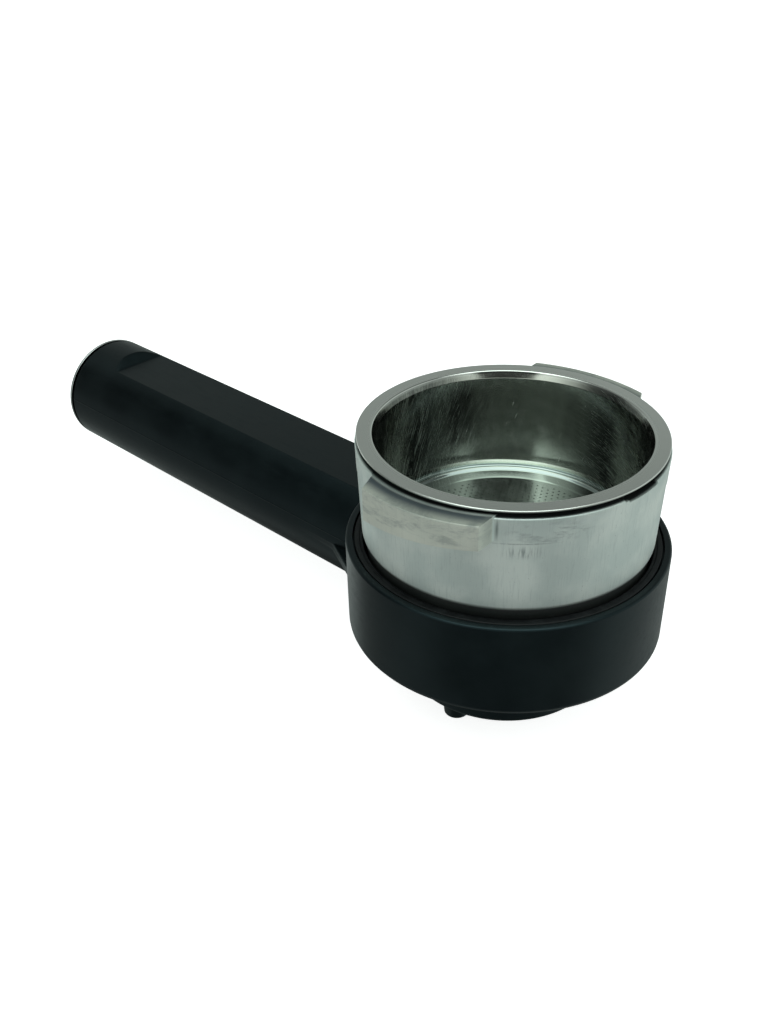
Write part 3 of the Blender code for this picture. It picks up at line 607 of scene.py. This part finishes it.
FINISHES = {
    "cast_aluminium": cast_aluminium(),
    "stainless": stainless(),
    "black_plastic": black_plastic(),
    "black_rubber": black_rubber(),
    "spring_steel": drawn_metal("spring_steel", (0.52, 0.53, 0.52), (0.34, 0.34, 0.33), 0.22, 0.36),
    "zinc_steel": drawn_metal("zinc_steel", (0.62, 0.64, 0.62), (0.42, 0.43, 0.42), 0.26, 0.42),
    "brass": drawn_metal("brass", (0.76, 0.56, 0.27), (0.48, 0.33, 0.15), 0.24, 0.40),
    "chrome": drawn_metal("chrome", (0.86, 0.88, 0.87), (0.81, 0.83, 0.82), 0.05, 0.10, nicked=0.08),
    "silicone": silicone(),
}

# ---------------------------------------------------------------- basket


def hole_places():
    """The sieve's holes on a triangular grid inside the field."""
    reach = FIELD_R - 1.2
    rows = int(reach / (HOLE_PITCH * math.sqrt(0.75)))
    places = []
    for row in range(-rows, rows + 1):
        y = row * HOLE_PITCH * math.sqrt(0.75)
        shift = 0.5 * (row % 2)
        for column in range(-rows - 1, rows + 2):
            x = (column + shift) * HOLE_PITCH
            if math.hypot(x, y) < reach:
                places.append((x, y))
    return places


def sieve(top, bottom):
    """The round field of the floor with every hole right through it, open at its rim."""
    points = [on_circle(FIELD_R, 360.0 * k / FINE) for k in range(FINE)]
    loops = [list(range(FINE))]
    for x, y in hole_places():
        first = len(points)
        turns = [math.tau * k / HOLE_SIDES for k in range(HOLE_SIDES)]
        points += [(x + HOLE_R * math.cos(t), y + HOLE_R * math.sin(t)) for t in turns]
        loops.append(list(range(first, len(points))))
    owner = {i: number for number, loop in enumerate(loops) for i in loop}
    edges = [pair for loop in loops for pair in zip(loop, loop[1:] + loop[:1])]
    flat = delaunay_2d_cdt([Vector(point) for point in points], edges, [], 0, 1e-7)
    source = [olds[0] for olds in flat[3]]
    shape = bmesh.new()
    levels = {}
    for level in (top, bottom):
        levels[level] = {old: shape.verts.new((*points[old], level)) for old in source}
        for face in flat[2]:
            olds = [source[i] for i in face]
            loop_numbers = {owner[old] for old in olds}
            if loop_numbers == {0} or len(loop_numbers) > 1:
                shape.faces.new([levels[level][old] for old in olds])
    for loop in loops[1:]:
        for a, b in zip(loop, loop[1:] + loop[:1]):
            high, low = levels[top], levels[bottom]
            shape.faces.new((high[a], high[b], low[b], low[a]))
    return shape


def joined(first, second):
    """One bmesh that holds two that meet edge to edge."""
    spare = bpy.data.meshes.new("spare")
    second.to_mesh(spare)
    second.free()
    first.from_mesh(spare)
    bpy.data.meshes.remove(spare)
    bmesh.ops.remove_doubles(first, verts=first.verts, dist=2e-3)
    return first


def make_basket():
    """The pressed basket: flange, wall, a bead round the floor, and the sieve."""
    floor = BASKET_FLOOR
    foot_r = BASKET_R - 0.03
    bead_in, bead_out, bead_height, bead_steps = 23.1, 25.0, 0.5, 12
    bead = []
    for k in range(bead_steps + 1):
        r = bead_in + (bead_out - bead_in) * k / bead_steps
        bead.append((r, floor + 0.16 + bead_height * math.sin(math.pi * k / bead_steps) ** 2))
    corners = [
        (FIELD_R, floor),
        (FIELD_R + 0.4, floor),
        (FIELD_R + 0.7, floor + 0.12),
        *bead,
        (foot_r, floor + 0.16, 0.4),
        (foot_r, floor + 1.22),
        (BASKET_R, floor + 1.34),
        (BASKET_R, RIM_TOP - 1.45, 0.5),
        (BASKET_R + MOUTH_FLARE, RIM_TOP, FLANGE_BEND_R),
        (FLANGE_R, RIM_TOP, 0.2),
        (FLANGE_R, RIM_TOP - BASKET_SHEET, 0.2),
        (BASKET_R + BASKET_SHEET + MOUTH_FLARE / 2, RIM_TOP - BASKET_SHEET, 0.2),
        (BASKET_R + BASKET_SHEET, RIM_TOP - 2.0),
        (BASKET_R + BASKET_SHEET, floor - BASKET_SHEET, 1.7),
        (FIELD_R, floor - BASKET_SHEET),
    ]
    wall = lathe(rounded(corners, steps=6), FINE, closed=False)
    shape = joined(wall, sieve(floor, floor - BASKET_SHEET))
    add_piece("filter_basket", shape, "stainless", ["basket_shell"])


def make_base_cap():
    """The pressed cap under the sieve with its one small outlet."""
    low, high = extent("basket_base_cap")
    sheet = 0.4
    outline = rounded(
        [
            (0.5, low.z),
            (high.x, low.z, 0.35),
            (high.x, high.z, 0.15),
            (high.x - 1.0, high.z, 0.15),
            (high.x - 1.0, low.z + sheet),
            (0.5, low.z + sheet),
        ],
    )
    add_piece("basket_outlet_cap", lathe(outline, ROUND), "stainless", ["basket_base_cap"])


def make_spring():
    """The open wire ring that grips the basket."""
    turns = [math.tau * k / 20 for k in range(20)]
    circle = [(WIRE_RING_R + WIRE_R * math.cos(t), WIRE_LEVEL + WIRE_R * math.sin(t)) for t in turns]
    ring = lathe(circle, FINE, WIRE_ARC)
    turn = Matrix.Rotation(math.radians(-WIRE_ARC / 2), 3, "Z")
    bmesh.ops.rotate(ring, verts=ring.verts, matrix=turn)
    add_piece("wire_spring", ring, "spring_steel", ["retaining_spring"])


# ---------------------------------------------------------------- cup


def swept_lug(centre, section):
    """A solid swept along a lug from its low end to its high one.

    section(top, under) gives (radius, height, tip share) corners, where the share says how far
    a corner lies from the lug's root angles towards its tip angles.
    """
    steps = 24
    shape = bmesh.new()
    rings = []
    for k in range(steps + 1):
        t = k / steps
        tip, root, top, under = (
            low + t * (high - low)
            for low, high in (LUG_TIP_ANGLES, LUG_ROOT_ANGLES, LUG_TOP, LUG_UNDERSIDE)
        )
        ring = []
        for radius, height, share in section(top, under):
            angle = centre + root + share * (tip - root)
            ring.append(shape.verts.new((*on_circle(radius, angle), height)))
        rings.append(ring)
    for here, there in zip(rings, rings[1:]):
        for i in range(len(here)):
            j = (i + 1) % len(here)
            shape.faces.new((here[i], here[j], there[j], there[i]))
    shape.faces.new(rings[0])
    shape.faces.new(rings[-1])
    return shape


def lug_body(centre):
    """The lug, a little too high: its top is cut down with the shoulder's."""
    spare = 0.8
    root_r = CUP_R - 1.0

    def section(top, under):
        return [
            (root_r, under, 0.0),
            (LUG_R - LUG_EDGE, under, 1.0),
            (LUG_R - 0.3 * LUG_EDGE, under + 0.3 * LUG_EDGE, 1.0),
            (LUG_R, under + LUG_EDGE, 1.0),
            (LUG_R, top + spare, 1.0),
            (root_r, top + spare, 0.0),
        ]

    shape = swept_lug(centre, section)
    bmesh.ops.recalc_face_normals(shape, faces=shape.faces)
    ends = [
        edge
        for edge in shape.edges
        if min(vert.co.xy.length for vert in edge.verts) > LUG_R - 0.01
        and abs(edge.verts[0].co.z - edge.verts[1].co.z) > 2.0
    ]
    bevel(shape, ends, LUG_EDGE)
    return shape


def lug_top_cut(centre):
    """What is cut from the shoulder and the lug to leave one sloping top with a soft edge."""
    past_root, past_tip = -0.15, 0.85

    def section(top, _under):
        return [
            (LIP_R, top, past_root),
            (LUG_R - LUG_EDGE, top, past_tip),
            (LUG_R - 0.3 * LUG_EDGE, top - 0.3 * LUG_EDGE, past_tip),
            (LUG_R, top - LUG_EDGE, past_tip),
            (LUG_R + 1.0, top - LUG_EDGE, past_tip),
            (LUG_R + 1.0, RIM_TOP + 1.0, past_tip),
            (LIP_R, RIM_TOP + 1.0, past_root),
        ]

    return swept_lug(centre, section)


def pry_notch():
    """The rough-edged gap in the rim, opposite the handle."""
    inner, outer = CUP_BORE_R - 1.5, CUP_R + 1.5
    angles = (-8.5, 8.5)
    outline = [on_circle(inner, a) for a in angles] + [on_circle(outer, a) for a in reversed(angles)]
    deep = prism(outline, SHOULDER - 0.6, RIM_TOP)
    tear = [on_circle(outer, -11.2), on_circle(LIP_R, -9.6), on_circle(LIP_R, -7.5), on_circle(outer, -7.5)]
    return [deep, prism(tear, SHOULDER - 0.25, RIM_TOP)]


def make_cup():
    """The cast cup: lugs, lip, notch, spring groove, bosses and the stub for the handle."""
    groove_low, groove_high = WIRE_LEVEL - 0.85, WIRE_LEVEL + 0.85
    lip_top = SHOULDER + LIP_HEIGHT
    outline = rounded(
        [
            (DRAIN_R, CUP_UNDERSIDE),
            (27.3, CUP_UNDERSIDE, 1.5),
            (27.7, 30.97),
            (28.42, 33.6, 1.5),
            (29.10, 47.30),
            (29.20, 47.62),
            (CUP_R, SHOULDER, 0.3),
            (LIP_R + 0.45, SHOULDER),
            (LIP_R, lip_top, 0.2),
            (CUP_BORE_R, lip_top, 0.3),
            (CUP_BORE_R, groove_high, 0.15),
            (27.8, groove_high, 0.3),
            (27.8, groove_low, 0.3),
            (CUP_BORE_R, groove_low, 0.15),
            (CUP_BORE_R, CUP_FLOOR, 0.8),
            (DRAIN_R, CUP_FLOOR - 0.4, 0.4),
        ]
    )
    inside_floor = CUP_UNDERSIDE + 1.0
    foot = SKIRT_BOTTOM + SKIRT_PLATE + 0.55
    spout_boss_r, skirt_boss_r = 4.2, 3.0
    spout_bore_top, skirt_bore_top = 23.5, 23.0
    insert_seat, bolt_bore_end = -27.7, -21.0
    spout_places = [(side * SPOUT_SCREW_X, 0.0) for side in (-1, 1)]
    skirt_places = [on_circle(SKIRT_SCREW_AT_R, angle) for angle in SKIRT_SCREW_ANGLES]
    additions = [lug_body(centre) for centre in LUG_CENTRES]
    additions.append(lay(lathe(tube(0.0, STUB_R, STUB_END, -11.5, 0.4), SMALL)))
    web_back, web_front, web_half = -26.0, -12.5, 3.6
    web = [(web_back, -web_half), (web_front, -web_half), (web_front, web_half), (web_back, web_half)]
    additions.append(prism(web, HANDLE_AXIS, inside_floor))
    for boss_r, places in ((spout_boss_r, spout_places), (skirt_boss_r, skirt_places)):
        boss = tube(0.0, boss_r, foot, inside_floor)
        additions += [stand(lathe(boss, SMALL), at) for at in places]
    cuts = [lug_top_cut(centre) for centre in LUG_CENTRES] + pry_notch()
    spout_bore = tube(0.0, SPOUT_SCREW_R + GAP, foot - 1.0, spout_bore_top)
    skirt_bore = tube(0.0, SKIRT_SCREW_R + GAP, foot - 1.0, skirt_bore_top)
    cuts += [stand(lathe(spout_bore, SMALL), at) for at in spout_places]
    cuts += [stand(lathe(skirt_bore, SMALL), at) for at in skirt_places]
    cuts.append(lay(lathe(tube(0.0, INSERT_R + GAP, STUB_END - 1.0, insert_seat), SMALL)))
    cuts.append(lay(lathe(tube(0.0, BOLT_R + GAP, -29.0, bolt_bore_end), SMALL)))
    shape = lathe(outline, FINE)
    add_piece("cast_cup", shape, "cast_aluminium", ["filter_holder_cup"], additions, cuts)


# ---------------------------------------------------------------- skirt and spout


def make_skirt():
    """The moulded skirt with its soft upper edge and the screw holes under it."""
    plate_top = SKIRT_BOTTOM + SKIRT_PLATE
    pipe_hole_r = 8.8
    outline = rounded(
        [
            (pipe_hole_r, SKIRT_BOTTOM),
            (SKIRT_BOTTOM_R, SKIRT_BOTTOM, 1.6),
            (SKIRT_TOP_R, SKIRT_TOP, 0.5),
            (SEAT_R, SKIRT_TOP, 0.15),
            (SEAT_R, SEAT_LEVEL),
            (MOUTH_R, SEAT_LEVEL),
            (MOUTH_R, SEAT_LEVEL - 2.0),
            (SKIRT_INNER_R, SEAT_LEVEL - 3.0),
            (SKIRT_INNER_R, plate_top, 1.0),
            (pipe_hole_r, plate_top),
        ],
        steps=6,
    )
    cuts = [lay(lathe(tube(0.0, STUB_R + GAP, -SKIRT_TOP_R - 3.0, -SKIRT_INNER_R + 3.0), SMALL))]
    for side in (-1, 1):
        hole = tube(0.0, SPOUT_SCREW_R + GAP, SKIRT_BOTTOM - 1.0, plate_top + 1.0)
        cuts.append(stand(lathe(hole, SMALL), (side * SPOUT_SCREW_X, 0.0)))
    for angle in SKIRT_SCREW_ANGLES:
        hole = tube(0.0, SKIRT_SCREW_R + GAP, SKIRT_BOTTOM - 1.0, plate_top + 1.0)
        cuts.append(stand(lathe(hole, SMALL), on_circle(SKIRT_SCREW_AT_R, angle)))
    add_piece("skirt_moulding", lathe(outline, FINE), "black_plastic", ["lower_skirt"], cuts=cuts)


def make_seal_ring():
    """The soft ring in the skirt's mouth, with a fine lip against the cup."""
    low, high = extent("skirt_seal_ring")
    outline = rounded(
        [
            (MOUTH_R, low.z),
            (high.x, low.z),
            (high.x, high.z, 0.25),
            (MOUTH_R + 0.75, high.z, 0.1),
            (MOUTH_R + 0.55, high.z - 0.18, 0.1),
            (MOUTH_R, high.z - 0.12, 0.2),
        ],
    )
    add_piece("cup_seal_ring", lathe(outline, FINE), "black_rubber", ["skirt_seal_ring"])


def cross_recess(head_bottom, reach):
    """The cross for a screwdriver in the face of a head that looks down."""
    half_width, depth = 0.45, 0.8
    bars = []
    for long_x, long_y in ((reach, half_width), (half_width, reach)):
        corners = [(-long_x, -long_y), (long_x, -long_y), (long_x, long_y), (-long_x, long_y)]
        bars.append(prism(corners, head_bottom - 1.0, head_bottom + depth))
    return bars


def make_screw(name, node, shank_r, tip_level):
    """A pan-head screw, head down, with a cross recess and a thread drawn as fine ridges."""
    low, high = extent(node)
    at = ((low.x + high.x) / 2, (low.y + high.y) / 2)
    head_r = (high.x - low.x) / 2
    head_top = low.z + (1.4 if head_r < 3.0 else 1.1)
    pitch = 0.9
    ridges = []
    level = head_top + 1.0
    while level < tip_level - shank_r - pitch:
        ridges += [(shank_r - 0.28, level), (shank_r - 0.02, level + pitch / 2)]
        level += pitch
    outline = rounded(
        [
            (0.0, low.z),
            (head_r, low.z, 0.55),
            (head_r, head_top),
            (shank_r, head_top),
            *ridges,
            (shank_r - 0.28, tip_level - shank_r),
            (0.3, tip_level),
            (0.0, tip_level),
        ],
    )
    cuts = [stand(bar, at) for bar in cross_recess(low.z, head_r * 0.55)]
    add_piece(name, stand(lathe(outline, SMALL), at), "zinc_steel", [node], cuts=cuts)


def make_spout_housing():
    """The drum under the skirt, its inlet pipe and the pillars round the screws."""
    drum_top = SKIRT_BOTTOM - GAP
    cavity_top = drum_top - 2.2
    cavity_r = 17.4
    pipe_bore_r, pipe_r, pipe_top = 6.5, 8.5, 25.8
    outline = rounded(
        [
            (pipe_bore_r, cavity_top),
            (pipe_bore_r, pipe_top),
            (pipe_r, pipe_top, 0.4),
            (pipe_r, drum_top, 0.5),
            (SPOUT_R, drum_top, 0.6),
            (SPOUT_R, SPOUT_DRUM_BOTTOM, 0.15),
            (cavity_r, SPOUT_DRUM_BOTTOM),
            (cavity_r, cavity_top, 0.8),
        ],
    )
    places = [(side * SPOUT_SCREW_X, 0.0) for side in (-1, 1)]
    pillar = tube(0.0, 3.6, PLATE_HIGH.z + GAP, cavity_top + 1.0)
    hole = tube(0.0, SPOUT_SCREW_R + GAP, 0.0, drum_top + 1.0)
    additions = [stand(lathe(pillar, SMALL), at) for at in places]
    cuts = [stand(lathe(hole, SMALL), at) for at in places]
    shape = lathe(outline, FINE)
    add_piece("spout_drum", shape, "black_plastic", ["spout_housing"], additions, cuts)


def make_spout_plate():
    """The drum's bottom plate with its two nozzles and the sunk screw heads."""
    rim_r = 17.1
    top = 3.0
    outline = rounded(
        [
            (0.0, 0.0),
            (SPOUT_R, 0.0, 0.8),
            (SPOUT_R, top, 0.15),
            (rim_r, top),
            (rim_r, PLATE_HIGH.z, 0.3),
            (rim_r - 1.3, PLATE_HIGH.z),
            (rim_r - 1.3, top - 0.6),
            (0.0, top - 0.6),
        ],
        steps=5,
    )
    nozzle = rounded(
        [
            (0.0, NOZZLE_TIP),
            (2.5, NOZZLE_TIP, 0.5),
            (2.93, -0.5, 2.0),
            (3.5, 0.0),
            (3.5, 1.5),
            (0.0, 1.5),
        ],
        steps=5,
    )
    places = [(0.0, side * NOZZLE_Y) for side in (-1, 1)]
    additions = [stand(lathe(nozzle, SMALL), at) for at in places]
    cuts = [stand(lathe(tube(0.0, 1.5, NOZZLE_TIP - 1.0, 6.5), SMALL), at) for at in places]
    for side in (-1, 1):
        for hole in (tube(0.0, 3.7, -1.0, 1.5), tube(0.0, SPOUT_SCREW_R + GAP, 1.0, 4.0)):
            cuts.append(stand(lathe(hole, SMALL), (side * SPOUT_SCREW_X, 0.0)))
    shape = lathe(outline, FINE)
    add_piece("nozzle_plate", shape, "black_plastic", ["spout_plate"], additions, cuts)


def make_joint_seal():
    """The gasket whose edge shows as a line between drum and plate."""
    low, high = extent("spout_joint_seal")
    outline = tube(17.5, high.x, low.z, high.z, 0.2)
    add_piece("drum_gasket", lathe(outline, FINE), "black_rubber", ["spout_joint_seal"])


# ---------------------------------------------------------------- handle

SEAM_ANGLE = 82.0
SEAM_HEIGHT = 0.06
CORNER_ANGLE = math.degrees(math.acos(FLAT_LEVEL / GRIP_R))


def grip_angles():
    """Angles round the handle from its top, closer together at the flat's edges and the seams."""
    angles = {round(360.0 * k / ROUND, 3) for k in range(ROUND)}
    for place, step in ((CORNER_ANGLE, 0.7), (SEAM_ANGLE, 0.3)):
        for side in (-1, 1):
            angles |= {round((side * place + k * step) % 360.0, 3) for k in range(-4, 5)}
    return sorted(angles)


def grip_radius(angle, radius, level):
    """The grip's radius at an angle: the round, the flat at its level, and the seam."""
    from_top = min(angle, 360.0 - angle)
    seam = max(0.0, 1.0 - abs(from_top - SEAM_ANGLE) / 0.7) * SEAM_HEIGHT
    if from_top > 80.0:
        return radius + seam
    return min(radius + seam, level / math.cos(math.radians(from_top)))


def make_grip():
    """The moulded grip: flat along its top, seams at its sides, gussets at its neck."""
    front = -24.0
    edge = 0.25
    stations = [(x, GRIP_R, FLAT_LEVEL) for x in (front, -48.0, -72.0, -96.0, FLAT_END + 0.3)]
    run_out = 12
    for k in range(1, run_out + 1):
        share = k / run_out
        rise = (GRIP_R - FLAT_LEVEL) * share
        stations.append((FLAT_END - FLAT_RUN_OUT * share, GRIP_R, FLAT_LEVEL + rise))
    for k in range(7):
        turn = math.radians(15.0 * k)
        x = GRIP_END + edge * (1 - math.sin(turn))
        stations.append((x, GRIP_R - edge * (1 - math.cos(turn)), GRIP_R))
    seat, seat_r, hollow_r = GRIP_END + 2.7, 12.2, 9.0
    hollow_end, web_end = -45.0, STUB_END - 1.0
    bore = [(GRIP_END, seat_r), (seat, seat_r), (seat, hollow_r), (hollow_end, hollow_r)]
    bore += [(hollow_end, BOLT_R + GAP), (web_end, BOLT_R + GAP)]
    bore += [(web_end, STUB_R + GAP), (front, STUB_R + GAP)]
    stations += [(x, r, None) for x, r in bore]
    angles = grip_angles()
    shape = bmesh.new()
    rings = []
    for x, radius, level in stations:
        ring = []
        for angle in angles:
            turn = math.radians(angle)
            r = grip_radius(angle, radius, level) if level else radius
            ring.append(shape.verts.new((x, -r * math.sin(turn), HANDLE_AXIS + r * math.cos(turn))))
        rings.append(ring)
    for here, there in zip(rings, rings[1:] + rings[:1]):
        for i in range(len(angles)):
            j = (i + 1) % len(angles)
            shape.faces.new((here[i], here[j], there[j], there[i]))
    gussets = []
    for side in (-1, 1):
        corners = [(-37.8, side * 12.5), (-24.6, side * 12.5), (-24.6, side * 19.1)]
        gussets.append(prism(corners, 17.2, 19.2, 0.3))
    saddle = lathe(tube(0.0, SADDLE_R, -10.0, 60.0), 2 * FINE)
    add_piece("grip", shape, "black_plastic", ["handle_grip"], gussets, [saddle])


def make_end_cap():
    """The bright disc at the grip's end, slightly crowned, on its stud."""
    inner_face = CAP_LOW.x + 1.0
    edge_r = CAP_HIGH.y
    stud_r = 1.8
    outline = rounded(
        [
            (0.0, CAP_LOW.x),
            (0.7 * edge_r, CAP_LOW.x, 6.0),
            (edge_r, CAP_LOW.x + 0.1, 0.55),
            (edge_r, inner_face, 0.12),
            (stud_r, inner_face),
            (stud_r, CAP_HIGH.x, 0.3),
            (0.0, CAP_HIGH.x),
        ],
    )
    add_piece("bright_end_cap", lay(lathe(outline, FINE)), "chrome", ["end_cap"])


make_basket()
make_base_cap()
make_spring()
make_cup()
make_skirt()
make_seal_ring()
make_spout_housing()
make_spout_plate()
make_joint_seal()
make_screw("skirt_fixing_left", "skirt_screw_left", SKIRT_SCREW_R, 22.0)
make_screw("skirt_fixing_right", "skirt_screw_right", SKIRT_SCREW_R, 22.0)
make_screw("spout_fixing_front", "spout_screw_front", SPOUT_SCREW_R, 22.0)
make_screw("spout_fixing_back", "spout_screw_handle_side", SPOUT_SCREW_R, 22.0)
make_grip()
make_end_cap()

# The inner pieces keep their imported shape
for row in frame["record"]["subparts"]:
    node = frame["nodes"][row["node"]]
    if not node.hide_render:
        node.material_slots[0].material = FINISHES[row["material_slot"]]

# ---------------------------------------------------------------- light and floor


def make_world():
    """A dim soft room for the reflections, with a pale backdrop behind the object."""
    world = bpy.data.worlds.new("room")
    world.use_nodes = True
    bpy.context.scene.world = world
    nodes, links = world.node_tree.nodes, world.node_tree.links
    background = nodes["Background"]
    direction = nodes.new("ShaderNodeTexCoord").outputs["Generated"]
    # (azimuth, elevation, inner and outer reach in degrees, change of brightness)
    areas = (
        (-60.0, 78.0, 12.0, 42.0, 0.50),
        (-52.0, 32.0, 25.0, 60.0, 0.42),
        (-45.0, 38.0, 23.0, 29.0, -0.73),
        (-48.0, -35.0, 35.0, 60.0, -0.24),
        (90.0, 62.0, 25.0, 45.0, -0.30),
        (-165.0, 42.0, 10.0, 35.0, -0.14),
        (-137.0, 20.0, 8.0, 29.0, -0.25),
        (-147.0, -24.0, 15.0, 40.0, -0.16),
        (150.0, 24.0, 10.0, 30.0, -0.10),
        (150.0, -58.0, 14.0, 30.0, -0.30),
        (160.0, -28.0, 8.0, 22.0, 0.24),
        (168.0, -12.0, 8.0, 25.0, 0.50),
        (60.0, 15.0, 20.0, 55.0, 0.16),
    )
    total = 0.34
    for azimuth, elevation, inner, outer, change in areas:
        a, e = math.radians(azimuth), math.radians(elevation)
        towards = (math.cos(a) * math.cos(e), math.sin(a) * math.cos(e), math.sin(e))
        cosine = nodes.new("ShaderNodeVectorMath")
        cosine.operation = "DOT_PRODUCT"
        cosine.inputs[1].default_value = towards
        links.new(direction, cosine.inputs[0])
        patch = nodes.new("ShaderNodeMapRange")
        patch.interpolation_type = "SMOOTHSTEP"
        patch.inputs["From Min"].default_value = math.cos(math.radians(outer))
        patch.inputs["From Max"].default_value = math.cos(math.radians(inner))
        patch.inputs["To Max"].default_value = change
        links.new(cosine.outputs["Value"], patch.inputs["Value"])
        add = nodes.new("ShaderNodeMath")
        if isinstance(total, float):
            add.inputs[0].default_value = total
        else:
            links.new(total, add.inputs[0])
        links.new(patch.outputs[0], add.inputs[1])
        total = add.outputs[0]
    tint = nodes.new("ShaderNodeMix")
    tint.data_type = "RGBA"
    tint.blend_type = "MULTIPLY"
    tint.inputs[0].default_value = 1.0
    colours = [socket for socket in tint.inputs if socket.type == "RGBA"]
    links.new(total, colours[0])
    colours[1].default_value = (0.93, 1.05, 1.0, 1.0)
    seen = nodes.new("ShaderNodeMix")
    seen.data_type = "RGBA"
    links.new(nodes.new("ShaderNodeLightPath").outputs["Is Camera Ray"], seen.inputs[0])
    colours = [socket for socket in seen.inputs if socket.type == "RGBA"]
    links.new(next(s for s in tint.outputs if s.type == "RGBA"), colours[0])
    colours[1].default_value = (1.0, 1.0, 1.0, 1.0)
    links.new(next(s for s in seen.outputs if s.type == "RGBA"), background.inputs["Color"])


def make_light(name, at, width, power):
    """A square soft light that looks at the cup."""
    data = bpy.data.lights.new(name, "AREA")
    data.size = width
    data.energy = power
    data.color = (0.88, 1.0, 0.97)
    light = bpy.data.objects.new(name, data)
    light.location = at
    light.rotation_mode = "QUATERNION"
    light.rotation_quaternion = (Vector(at) - Vector((0.0, 0.0, 0.03))).to_track_quat("Z", "Y")
    bpy.context.scene.collection.objects.link(light)


def make_floor():
    """A plain pale floor at the nozzles' tips."""
    reach = 4.0
    shape = bmesh.new()
    corners = [(-reach, -reach), (reach, -reach), (reach, reach), (-reach, reach)]
    shape.faces.new([shape.verts.new((x, y, NOZZLE_TIP * MM)) for x, y in corners])
    mesh = bpy.data.meshes.new("floor")
    shape.to_mesh(mesh)
    shape.free()
    material = bpy.data.materials.new("pale_floor")
    material.use_nodes = True
    shader = material.node_tree.nodes["Principled BSDF"]
    shader.inputs["Base Color"].default_value = (0.90, 0.90, 0.90, 1.0)
    shader.inputs["Roughness"].default_value = 0.9
    shader.inputs["Emission Color"].default_value = (1.0, 1.0, 1.0, 1.0)
    shader.inputs["Emission Strength"].default_value = 0.85
    mesh.materials.append(material)
    floor = bpy.data.objects.new("floor", mesh)
    bpy.context.scene.collection.objects.link(floor)
    floor.visible_glossy = False


make_world()
make_light("overhead_softbox", (0.18, -0.20, 0.72), 0.90, 2.4)
make_floor()
bpy.context.scene.view_settings.view_transform = "Standard"
